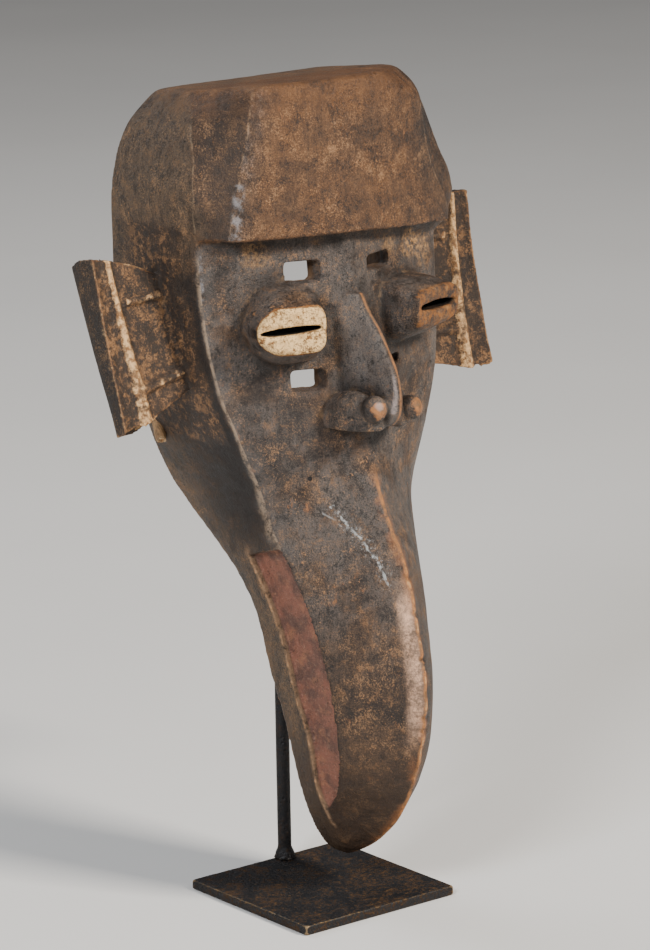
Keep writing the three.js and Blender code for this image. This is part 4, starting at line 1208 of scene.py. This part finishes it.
def lay_corners(wood):
    """Corners of the cheek and of the forehead: painted sheens inside them, painted shade past them
    and pale lines along them, partly wear and partly painted highlight.
    """
    patches, wear_noise, at = wood.patches, wood.wear_noise, wood.at
    waver = (wood.noise(12, 2) - 0.5) * 0.8
    past = at["past_cheek"] + waver
    # Painted grey sheen just inside the cheek's corner
    inner = past.ramp(-9, -1) * past.fall(0.2, 0.9) * at["cheek"]
    wood.lay(inner * patches.ramp(0.4, 0.62) * 0.28, (0.2, 0.185, 0.175))
    # Painted shade on the side just past the cheek's corner
    outer = past.ramp(0.6, 1.4) * past.fall(3, 12) * at["cheek"]
    wood.lay(outer * 0.6, (0.012, 0.009, 0.008))
    # Pale line along the cheek's corner, partly wear and partly painted highlight
    arris = past.line(0.15, 0.65) * at["cheek"]
    arris = arris * (wear_noise + (wood.grit - 0.5) * 0.4).ramp(0.42, 0.56, 0.15, 1.0)
    wood.lay(arris * 0.7, (0.42, 0.3, 0.2))
    past = at["past_corner"] + waver
    # Painted shade on the temple's facet just past the forehead's corner
    outer = past.ramp(0.4, 1.2) * past.fall(4, 16) * at["corner"]
    wood.lay(outer * 0.5, (0.018, 0.0125, 0.01))
    # Pale line along the forehead's corner, partly wear and partly painted highlight
    arris = past.line(0.15, 0.7) * at["corner"] * wear_noise.ramp(0.48, 0.6)
    wood.lay(arris * 0.5, (0.34, 0.22, 0.13))
    # Painted sheen just inside the forehead's corner
    silver = past.ramp(-9, -1) * past.fall(-0.4, 0.4) * at["corner"]
    silver = silver * wood.across.fall(-6, 0) * (wood.fine + patches * 0.5).ramp(0.7, 0.9)
    # Painted sheen streaks along the forehead's ridge and the cheek's corner
    sheen = scratch(wood, RIDGE_SHEEN, 3.6, 2.5) + scratch(wood, CHEEK_SHEEN, 1.2, 1.5)
    sheen = (sheen * wood.noise(4, 5, 0.7).ramp(0.4, 0.66) + silver * 0.18).clipped()
    wood.lay(sheen * 0.55, (0.33, 0.33, 0.35))
    return sheen


def lay_ears(wood):
    """Ears: dark boards, pale beads and ribs, bare outer ends."""
    fine, at = wood.fine, wood.at
    deep = (wood.mottle + (fine - 0.5) * 0.8).ramp(0.66, 0.44) * at["ear"] * (1 - at["bead"] * 0.8)
    wood.lay(deep * 0.75, (0.028, 0.0195, 0.0145))
    warm = at["ear"] * (fine + wood.patches * 0.6).ramp(0.78, 1.0) * (1 - at["ear_side"])
    wood.lay(warm * 0.6, (0.3, 0.15, 0.06))
    board = wood.mixed(wood.speck.ramp(0.5, 0.7), (0.022, 0.016, 0.0125), (0.17, 0.1, 0.05))
    wood.lay(at["ear_side"] * 0.85, board)
    pale = at["bead"] * 0.75 + at["rib"] * 0.35 + at["edge"] * at["ear"] * 0.5
    chipped = (pale + (wood.wear_noise - 0.5) * 2.0).ramp(0.45, 0.95)
    pale = chipped * pale.ramp(0.04, 0.3) * at["ear"]
    bone = wood.mixed(fine.ramp(0.4, 0.58), (0.28, 0.13, 0.045), (0.85, 0.54, 0.26))
    wood.lay(pale * 0.85, bone)


def lay_lime(wood):
    """Dabs of lime on the brow, limed eyelids, and their slits painted near black as shade."""
    at = wood.at
    limed = spot(wood, (57, -2, 311), 7) * 0.8 + spot(wood, (68, 2, 306), 8) * 0.5
    limed = limed + spot(wood, (-35, -2.5, 317), 7) * 0.35 + spot(wood, (40, -9, 314), 6) * 0.4
    limed = (limed * wood.noise(2.4, 5, 0.75).ramp(0.42, 0.58)).clipped()
    dab = wood.mixed(wood.grit.ramp(0.4, 0.62), (0.34, 0.16, 0.05), (0.78, 0.44, 0.16))
    wood.lay(limed * 0.88, dab)
    coat = (at["lids"] * 1.3 + (wood.noise(4.5, 6, 0.75) - 0.5) * 1.8).ramp(0.5, 0.85)
    coat = coat * at["lids"].ramp(0.1, 0.4) * (1 - at["slit"])
    stain = (wood.noise(4, 6, 0.8) + (1 - at["lids"]) * 0.6).ramp(0.51, 0.62)
    lime = wood.layered(
        wood.looks.lids,
        (stain, (0.28, 0.11, 0.03)),
        (wood.speck.ramp(0.48, 0.36) * 0.8, (0.14, 0.06, 0.022)),
        (wood.noise(7, 5, 0.7).ramp(0.5, 0.66) * 0.5, (0.5, 0.27, 0.1)),
    )
    wood.lay(coat * 0.92, lime)
    # The slits' walls painted near black as shade
    wood.lay(at["slit"], (0.004, 0.003, 0.003))
    return coat, stain


def lay_recesses(wood):
    """Reddened mouth, the brow's underside painted dark as shade, a painted highlight along the
    mouth's step, and the bare hollow.
    """
    grain, at = wood.grain, wood.at
    red = wood.layered(
        wood.looks.mouth,
        (wood.noise(12, 6, 0.65).ramp(0.4, 0.62) * 0.8, (0.085, 0.05, 0.042)),
        (wood.noise(9, 6, 0.7).ramp(0.52, 0.66) * 0.55, (0.38, 0.165, 0.085)),
        (wood.grit.ramp(0.52, 0.66) * 0.4, (0.42, 0.25, 0.17)),
        (wood.speck.ramp(0.44, 0.34) * 0.6, (0.03, 0.014, 0.01)),
        (wood.noise(7, 6, 0.75).ramp(0.4, 0.3) * 0.6, (0.024, 0.013, 0.01)),
    )
    wood.lay(at["mouth"] * 0.94, red)
    # The brow's underside darkened as painted shade, with lighter carved strokes
    brow_underside_shade = (grain + wood.mottle * 0.6).ramp(0.64, 0.92)
    brow_underside_shade = wood.mixed(brow_underside_shade, (0.022, 0.014, 0.01), (0.17, 0.082, 0.036))
    wood.lay(at["lip"] * 0.8, brow_underside_shade)
    # Painted highlight along the step at the mouth's back edge, broken up by noise
    wood.lay(at["mouth_step_highlight"] * wood.wear_noise.ramp(0.36, 0.54) * 0.6, (0.42, 0.25, 0.14))
    raw = wood.mixed(grain.ramp(0.35, 0.7), (0.18, 0.1, 0.05), (0.085, 0.045, 0.025))
    raw = wood.mixed(wood.noise(30, 4).ramp(0.4, 0.7) * 0.7, raw, (0.045, 0.028, 0.018))
    wood.lay(at["inside"] * 0.92, raw)


def lay_marks(wood):
    """Scratches, the crack and the worm hole."""
    chalk = scratch(wood, CHALK_SCRATCH, 0.8, 4) + scratch(wood, CHALK_BRANCH, 0.6, 4) * 0.8
    chalk = chalk * wood.noise(2.2, 4, 0.7).ramp(0.36, 0.54)
    smear = scratch(wood, CHALK_SCRATCH, 5, 6) * wood.noise(1.4, 4, 0.75).ramp(0.53, 0.68) * 0.6
    chalk = (chalk + smear + scratch(wood, SHORT_SCRATCH, 0.6, 3) * 0.5).clipped()
    wood.lay(chalk * 0.7, (0.5, 0.52, 0.52))
    split = scratch(wood, NOSE_CRACK, 0.45, 1)
    hole = wood.distance_to(INSECT_HOLE).fall(0.9, 1.2)
    wood.lay(split.maths("MAXIMUM", hole), (0.003, 0.002, 0.002))
    crease = scratch(wood, TEMPLE_LINE, 0.7, 1.2) * wood.wear_noise.ramp(0.42, 0.6) * 0.35
    wood.lay(crease, (0.4, 0.28, 0.17))
    return hole, split


def mask_wood(looks):
    """Dark patina over carved wood: mottled, worn bright on its edges, limed at the eyes, with
    painted shade, sheens and highlights.
    """
    wood = MaskTree(looks)
    lay_patina(wood)
    lay_shade(wood)
    rubbed = lay_wear(wood)
    sheen = lay_corners(wood)
    lay_ears(wood)
    coat, stain = lay_lime(wood)
    lay_recesses(wood)
    hole, split = lay_marks(wood)
    rough = wood.mottle.ramp(0.3, 0.7, 0.36, 0.56) + wood.grit * 0.12 - rubbed * 0.05 + coat * 0.3
    rough = rough + wood.at["inside"] * 0.25 - sheen * 0.08 + (wood.speck - 0.5) * 0.25
    relief = wood.grit * 0.6 + wood.grain * 0.5 + wood.mottle * 0.8 + wood.fine * 0.7
    relief = relief - hole * 3 - split + coat * (0.4 + stain * -0.5) + wood.speck * 0.35
    return wood.finish(rough.clipped(), relief, 0.8, Specular_IOR_Level=0.36)


def peg_wood(looks):
    """Pale bare wood with fibres that run down the peg."""
    tree = Tree("pale_wood")
    fibres = tree.noise(0.9, 5, 0.6, 0.3, stretch=(1, 2.2, 6))
    stain = tree.noise(6, 4)
    tree.colour = tree.layered(
        looks.peg,
        (fibres.ramp(0.3, 0.7), (0.2, 0.12, 0.06)),
        (stain.ramp(0.5, 0.75) * 0.6, (0.09, 0.05, 0.03)),
        (tree.attribute("edge") * 0.5, (0.62, 0.46, 0.27)),
    )
    return tree.finish(fibres * 0.2 + 0.6, fibres + stain * 0.3, 0.3)


def iron(name, looks, brown):
    """Blackened iron: bluish on the bare metal, browned and mottled where it has rusted."""
    tree = Tree(name)
    blotch = tree.noise(13, 8, 0.75, 0.6)
    fine = tree.noise(1.8, 5, 0.75)
    pits = tree.cells(2.1).ramp(0.1, 0.45)
    rust = (blotch + (fine - 0.5) * 1.2).ramp(0.46, 0.66) * brown
    worn = (tree.attribute("edge") + (fine - 0.5) * 1.3).ramp(0.4, 0.9)
    tree.colour = tree.layered(
        looks.iron,
        (blotch.ramp(0.35, 0.65), (0.02, 0.019, 0.02)),
        (rust * 0.75, looks.rust),
        (rust * fine.ramp(0.58, 0.72) * 0.45, (0.28, 0.15, 0.05)),
        (worn * 0.6, tree.mixed(brown, (0.2, 0.2, 0.21), (0.36, 0.24, 0.12))),
    )
    rough = 0.42 + rust * 0.34 + fine * 0.16 - worn * 0.1
    height = fine * 0.6 + pits * 0.5 + blotch * 0.6 + rust * 0.4
    return tree.finish(rough.clipped(), height, 0.5, Metallic=0.3, Specular_IOR_Level=0.35)


def plain_floor(colour):
    """Pale matt floor with the faintest clouding."""
    tree = Tree("floor")
    darker = [channel * 0.96 for channel in colour[:3]]
    tree.colour = tree.mixed(tree.noise(400, 3).ramp(0.3, 0.7), colour, darker)
    return tree.finish(0.78 + tree.noise(5, 2) * 0.06, tree.noise(2, 2), 0.02)


def remeshed(piece, voxel):
    """Rebuilds a piece's skin as an even mesh of small quads."""
    modifier = piece.modifiers.new("even_skin", "REMESH")
    modifier.mode = "VOXEL"
    modifier.voxel_size = voxel
    settle(piece)
    piece.data.shade_smooth()


def dress(piece, node, material):
    """Lets a piece stand for its node of the model."""
    piece.data.materials.clear()
    piece.data.materials.append(material)
    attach(piece, "root")
    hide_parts(node)


def renewed(name):
    """Clears away an earlier run's piece, so that an operator can be run again."""
    old = bpy.data.objects.get(name)
    if old is not None:
        bpy.data.objects.remove(old)


def thinned(piece, triangles):
    """Brings a finely built skin down to that many triangles, fewest where it is flat."""
    count = sum(len(face.vertices) - 2 for face in piece.data.polygons)
    modifier = piece.modifiers.new("thinned", "DECIMATE")
    modifier.ratio = min(triangles / count, 1)
    settle(piece)
    piece.data.shade_smooth()


def mask_body(voxel):
    """Joins the mask's solids, cuts its hollows and gives it one even skin."""
    rows = [
        *heights(TIP_Z, JAW_LOW_Z, 3),
        *heights(JAW_LOW_Z, JAW_HIGH_Z, 2.5)[1:],
        *heights(JAW_HIGH_Z, FACE_TOP_Z, 3)[1:],
    ]
    piece = skin("carved_mask", [face_ring(z) for z in rows])
    rows = [
        *heights(BROW_LOW_Z, BROW_EDGE_Z - 0.01, 2.3),
        *heights(BROW_EDGE_Z, TEMPLE_FLARE_Z, 1.5),
        *heights(TEMPLE_FLARE_Z, CROWN_Z, 2.5)[1:],
    ]
    joined = [skin("head", [head_ring(z) for z in rows])]
    joined.append(skin("nose", [nose_ring(z) for z in heights(NOSE_LOW_Z, NOSE_TOP_Z, 1.6)]))
    for side in (-1, 1):
        joined += [lobe("wing", side, WING), lobe("nostril", side, NOSTRILS[side]), eye_pad(side)]
    for ear in EARS:
        joined.append(ear_slab(ear))
        joined += [ear_rib(ear, root_z, outer_z) for root_z, outer_z in ear["ribs"]]
    cut = [crown_cut(plane) for plane in CROWN_CUTS]
    cut.append(skin("hollow", [hollow_ring(z) for z in heights(HOLLOW_LOW_Z, HOLLOW_TOP_Z, 4)]))
    cut += [tool(side) for side in (-1, 1) for tool in (mouth_cut, eye_slit)]
    cut += [eyehole(hole) for hole in EYEHOLES]
    cut.append(round_bar("peg_hole", PEG_START, PEG_END, PEG_RADIUS + GAP))
    carve(piece, joined, cut)
    settle(piece, joined + cut)
    if not piece.data.polygons:
        raise RuntimeError("The mask's solids didn't join")
    remeshed(piece, voxel)
    return piece


def colour_choice(name, description, default):
    return bpy.props.FloatVectorProperty(
        name=name, description=description, default=default, min=0, max=1, subtype="COLOR")


def length_choice(name, description, default, smallest):
    return bpy.props.FloatProperty(
        name=name, description=description, default=default, min=smallest, unit="LENGTH")


class MaskLooks(bpy.types.PropertyGroup):
    voxel: bpy.props.FloatProperty(
        name="Surface Detail", description="Size of the quads that the carved skin is built from",
        default=0.0009, min=0.0007, max=0.006, precision=5, unit="LENGTH")
    wear: bpy.props.FloatProperty(
        name="Wear", description="How much the raised edges are rubbed bright",
        default=1.0, min=0.0, max=2.0, subtype="FACTOR")
    patina: colour_choice("Patina", "Darkest colour of the handled surface", (0.028, 0.0185, 0.014))
    wood: colour_choice("Wood", "Brown that shows through the patina", (0.078, 0.044, 0.025))
    ochre: colour_choice("Ochre", "Dusty mottling in the pores", (0.23, 0.115, 0.05))
    worn: colour_choice(
        "Worn Edges", "Wood where hands have rubbed the patina away", (0.5, 0.2, 0.062))
    lids: colour_choice("Eyelids", "Lime on the eyelids", (1.0, 0.66, 0.3))
    mouth: colour_choice("Mouth", "Red in the recess of the beak", (0.25, 0.1, 0.066))
    peg: colour_choice("Peg", "Bare wood of the peg in the rim", (0.52, 0.3, 0.14))


class StandLooks(bpy.types.PropertyGroup):
    plate_side: length_choice(
        "Plate Side", "Width of the square foot plate", PLATE_HIGH[0] - PLATE_LOW[0], 0.04)
    plate_thickness: length_choice(
        "Plate Thickness", "Thickness of the foot plate", PLATE_HIGH[2] - PLATE_LOW[2], 0.002)
    rod_radius: length_choice("Rod Radius", "Radius of the upright rod", 0.0034, 0.0015)
    rod_top: length_choice("Rod Top", "Height of the top of the rod", ROD_HIGH[2], 0.1)
    iron: colour_choice("Iron", "Blackened metal", (0.012, 0.0115, 0.0125))
    rust: colour_choice("Rust", "Brown bloom on the plate", (0.07, 0.034, 0.012))


class StageLooks(bpy.types.PropertyGroup):
    floor: colour_choice("Floor", "Colour of the plain floor", (0.78, 0.77, 0.75))
    floor_side: length_choice("Floor Side", "Width of the floor", 30.0, 2.0)
    daylight: bpy.props.FloatProperty(
        name="Daylight", description="Strength of the even light from all round",
        default=0.1, min=0.0, max=3.0)
    key: bpy.props.FloatProperty(
        name="Key Light", description="Power of the large lamp above on the right, in watts",
        default=90.0, min=0.0)


class CarveMask(bpy.types.Operator):
    """Carve the mask, age its surface and colour it"""

    bl_idname = "beaked_mask.carve_mask"
    bl_label = "Carve Mask"

    def execute(self, context):
        looks = context.scene.beaked_mask
        renewed("carved_mask")
        piece = mask_body(looks.voxel)
        carve_surface(piece.data)
        paint_regions(piece.data)
        widen_temple(piece.data)
        thinned(piece, MASK_TRIANGLES)
        dress(piece, "mask", mask_wood(looks))
        return {"FINISHED"}


class WhittlePeg(bpy.types.Operator):
    """Make the broken peg that runs through the mask's rim"""

    bl_idname = "beaked_mask.whittle_peg"
    bl_label = "Whittle Peg"

    def execute(self, context):
        renewed("broken_peg")
        piece = round_bar("broken_peg", PEG_START, PEG_END, PEG_RADIUS - PEG_SLACK)
        remeshed(piece, PEG_VOXEL)
        mesh = piece.data
        co = points_of(mesh)
        run = Vector(PEG_END) - Vector(PEG_START)
        length, axis = run.length, np.array(run)
        axis /= np.linalg.norm(axis)
        along = (co / MM - PEG_START) @ axis
        centre = (np.array(PEG_START) + along[:, None] * axis) * MM
        spokes = co - centre
        dents = 1 + 0.07 * ripple(co, 3, 4) + 0.05 * ripple(co, 1.1, 5)
        taper = 1 - 0.16 * smooth(along, length - 4, length)
        co = centre + spokes * (np.minimum(dents, 1.02) * taper)[:, None]
        snapped = smooth(along, length - 1.5, length) * (1.1 + 1.6 * ripple(co, 1.4, 6))
        co -= axis * (np.maximum(snapped, 0) * MM)[:, None]
        put_points(mesh, co)
        store(mesh, "edge", smooth(convexity(mesh, 2), 0.1, 0.5))
        dress(piece, "rim_peg", peg_wood(context.scene.beaked_mask))
        return {"FINISHED"}


class ForgeRod(bpy.types.Operator):
    """Make the upright rod with its weld, cap and strut"""

    bl_idname = "beaked_mask.forge_rod"
    bl_label = "Forge Rod"

    def execute(self, context):
        looks = context.scene.beaked_stand
        renewed("iron_rod")
        radius, top = looks.rod_radius / MM, looks.rod_top / MM
        foot = looks.plate_thickness / MM + GAP
        # Weld bead, rod and cap, each point as (radius, height)
        profile = (
            (0, foot), (5.6, foot), (5.2, foot + 1.4), (4.6, foot + 3), (radius + 0.3, foot + 4.6),
            (radius, foot + 6), (radius, top - 4), (CAP_RADIUS, top - 3), (CAP_RADIUS, top - 1),
            (CAP_RADIUS - 1, top), (0, top),
        )
        bm = bmesh.new()
        chain = [bm.verts.new((out * MM, 0, up * MM)) for out, up in profile]
        edges = [bm.edges.new(pair) for pair in zip(chain, chain[1:])]
        bmesh.ops.spin(bm, geom=chain + edges, cent=(0, 0, 0), axis=(0, 0, 1), angle=math.tau,
                       steps=48, use_merge=True)
        bmesh.ops.remove_doubles(bm, verts=bm.verts[:], dist=1e-6)
        bmesh.ops.recalc_face_normals(bm, faces=bm.faces[:])
        piece = keep(bm, "iron_rod", (ROD_X * MM, ROD_Y * MM, 0))
        tip = (ROD_X, STRUT_TIP_Y, STRUT_HEIGHT)
        strut = round_bar("strut", (ROD_X, ROD_Y, STRUT_HEIGHT), tip, STRUT_RADIUS)
        pad_back = (ROD_X, STRUT_TIP_Y + STRUT_PAD_THICKNESS, STRUT_HEIGHT)
        pad = round_bar("strut_pad", pad_back, tip, STRUT_PAD_RADIUS)
        carve(piece, (strut, pad))
        settle(piece, (strut, pad))
        remeshed(piece, ROD_VOXEL)
        mesh = piece.data
        co = points_of(mesh)
        weld = smooth(foot + 7 - co[:, 2] / MM, 0, 3) * smooth(co[:, 2] / MM, foot, foot + 1)
        push = 0.06 * ripple(co, 12, 7) - 0.05 + weld * (0.5 * ripple(co, 3.2, 8) - 0.1)
        put_points(mesh, co + normals_of(mesh) * (push * MM)[:, None])
        store(mesh, "edge", smooth(convexity(mesh, 2), 0.16, 0.5))
        dress(piece, "stand_rod", iron("blackened_iron", looks, 0.35))
        return {"FINISHED"}


class CutPlate(bpy.types.Operator):
    """Cut the square foot plate and wear its edges"""

    bl_idname = "beaked_mask.cut_plate"
    bl_label = "Cut Plate"

    def execute(self, context):
        looks = context.scene.beaked_stand
        renewed("iron_plate")
        bm = bmesh.new()
        bmesh.ops.create_cube(bm, size=1)
        size = (looks.plate_side, looks.plate_side, looks.plate_thickness)
        bmesh.ops.scale(bm, vec=size, verts=bm.verts)
        bmesh.ops.translate(bm, vec=(0, 0, looks.plate_thickness / 2), verts=bm.verts)
        bmesh.ops.bevel(bm, geom=bm.edges[:], offset=PLATE_BEVEL, affect="EDGES", segments=3,
                        profile=0.5, material=-1)
        piece = keep(bm, "iron_plate")
        remeshed(piece, PLATE_VOXEL)
        mesh = piece.data
        co = points_of(mesh)
        upper = smooth(co[:, 2], 0.001, 0.0025)
        push = (0.12 * ripple(co, 22, 9) + 0.07 * ripple(co, 5, 10) - 0.12) * upper
        put_points(mesh, co + normals_of(mesh) * (push * MM)[:, None])
        store(mesh, "edge", smooth(convexity(mesh, 3), 0.06, 0.3))
        dress(piece, "base_plate", iron("plate_iron", looks, 1.0))
        return {"FINISHED"}


class SetStage(bpy.types.Operator):
    """Lay the floor, hang the lamps and place the camera"""

    bl_idname = "beaked_mask.set_stage"
    bl_label = "Set Stage"

    def execute(self, context):
        looks = context.scene.beaked_stage
        for name in ("floor", *LAMPS, "photo_camera"):
            renewed(name)
        bm = bmesh.new()
        bmesh.ops.create_grid(bm, x_segments=8, y_segments=8, size=looks.floor_side / 2)
        floor = keep(bm, "floor")
        floor.data.materials.append(plain_floor(looks.floor))
        for name, (share, *settings) in LAMPS.items():
            lamp(name, looks.key * share, *settings)
        world = bpy.data.worlds.new("daylight")
        world.use_nodes = True
        sky = world.node_tree.nodes["Background"]
        sky.inputs["Color"].default_value = SKY_COLOUR
        sky.inputs["Strength"].default_value = looks.daylight
        context.scene.world = world
        place_camera(context.scene)
        return {"FINISHED"}


def lamp(name, power, side, place, colour):
    """Square soft lamp that faces the mask."""
    data = bpy.data.lights.new(name, "AREA")
    data.energy = power
    data.size = side
    data.color = colour
    light = bpy.data.objects.new(name, data)
    light.location = place
    aim = Vector(LAMP_AIM) - light.location
    light.rotation_euler = aim.to_track_quat("-Z", "Y").to_euler()
    bpy.context.scene.collection.objects.link(light)


def place_camera(scene):
    """Looks at the mask as the photo does."""
    turn, pitch, roll = (math.radians(a) for a in (CAMERA_TURN, CAMERA_PITCH, CAMERA_ROLL))
    ahead = Vector((-math.sin(turn) * math.cos(pitch), math.cos(turn) * math.cos(pitch),
                    -math.sin(pitch)))
    right = Vector((math.cos(turn), math.sin(turn), 0))
    up = right.cross(ahead)
    tilted_right = right * math.cos(roll) + up * math.sin(roll)
    tilted_up = up * math.cos(roll) - right * math.sin(roll)
    target = right * CAMERA_TARGET_ACROSS + Vector((0, 0, CAMERA_TARGET_Z))
    place = (target - ahead * CAMERA_DISTANCE) * MM
    axes = Matrix((tilted_right, tilted_up, -ahead)).transposed()
    data = bpy.data.cameras.new("photo_camera")
    data.sensor_fit = "VERTICAL"
    data.sensor_height = CAMERA_SENSOR
    data.lens = CAMERA_LENS
    camera = bpy.data.objects.new("photo_camera", data)
    camera.matrix_world = Matrix.Translation(place) @ axes.to_4x4()
    scene.collection.objects.link(camera)
    scene.camera = camera


class BeakedMaskPanel(bpy.types.Panel):
    bl_idname = "VIEW3D_PT_beaked_mask"
    bl_label = "Beaked Mask"
    bl_space_type = "VIEW_3D"
    bl_region_type = "UI"
    bl_category = "Beaked Mask"

    def draw(self, context):
        scene = context.scene
        sections = (
            (scene.beaked_mask, (CarveMask, WhittlePeg)),
            (scene.beaked_stand, (ForgeRod, CutPlate)),
            (scene.beaked_stage, (SetStage,)),
        )
        for looks, operators in sections:
            box = self.layout.box()
            for name in looks.__annotations__:
                box.prop(looks, name)
            for operator in operators:
                box.operator(operator.bl_idname)


CLASSES = (
    MaskLooks, StandLooks, StageLooks, CarveMask, WhittlePeg, ForgeRod, CutPlate, SetStage,
    BeakedMaskPanel,
)


def register():
    for cls in CLASSES:
        bpy.utils.register_class(cls)
    bpy.types.Scene.beaked_mask = bpy.props.PointerProperty(type=MaskLooks)
    bpy.types.Scene.beaked_stand = bpy.props.PointerProperty(type=StandLooks)
    bpy.types.Scene.beaked_stage = bpy.props.PointerProperty(type=StageLooks)


def unregister():
    del bpy.types.Scene.beaked_stage
    del bpy.types.Scene.beaked_stand
    del bpy.types.Scene.beaked_mask
    for cls in reversed(CLASSES):
        bpy.utils.unregister_class(cls)


def main():
    register()
    bpy.ops.beaked_mask.carve_mask()
    bpy.ops.beaked_mask.whittle_peg()
    bpy.ops.beaked_mask.forge_rod()
    bpy.ops.beaked_mask.cut_plate()
    bpy.ops.beaked_mask.set_stage()


if __name__ == "__main__":
    main()
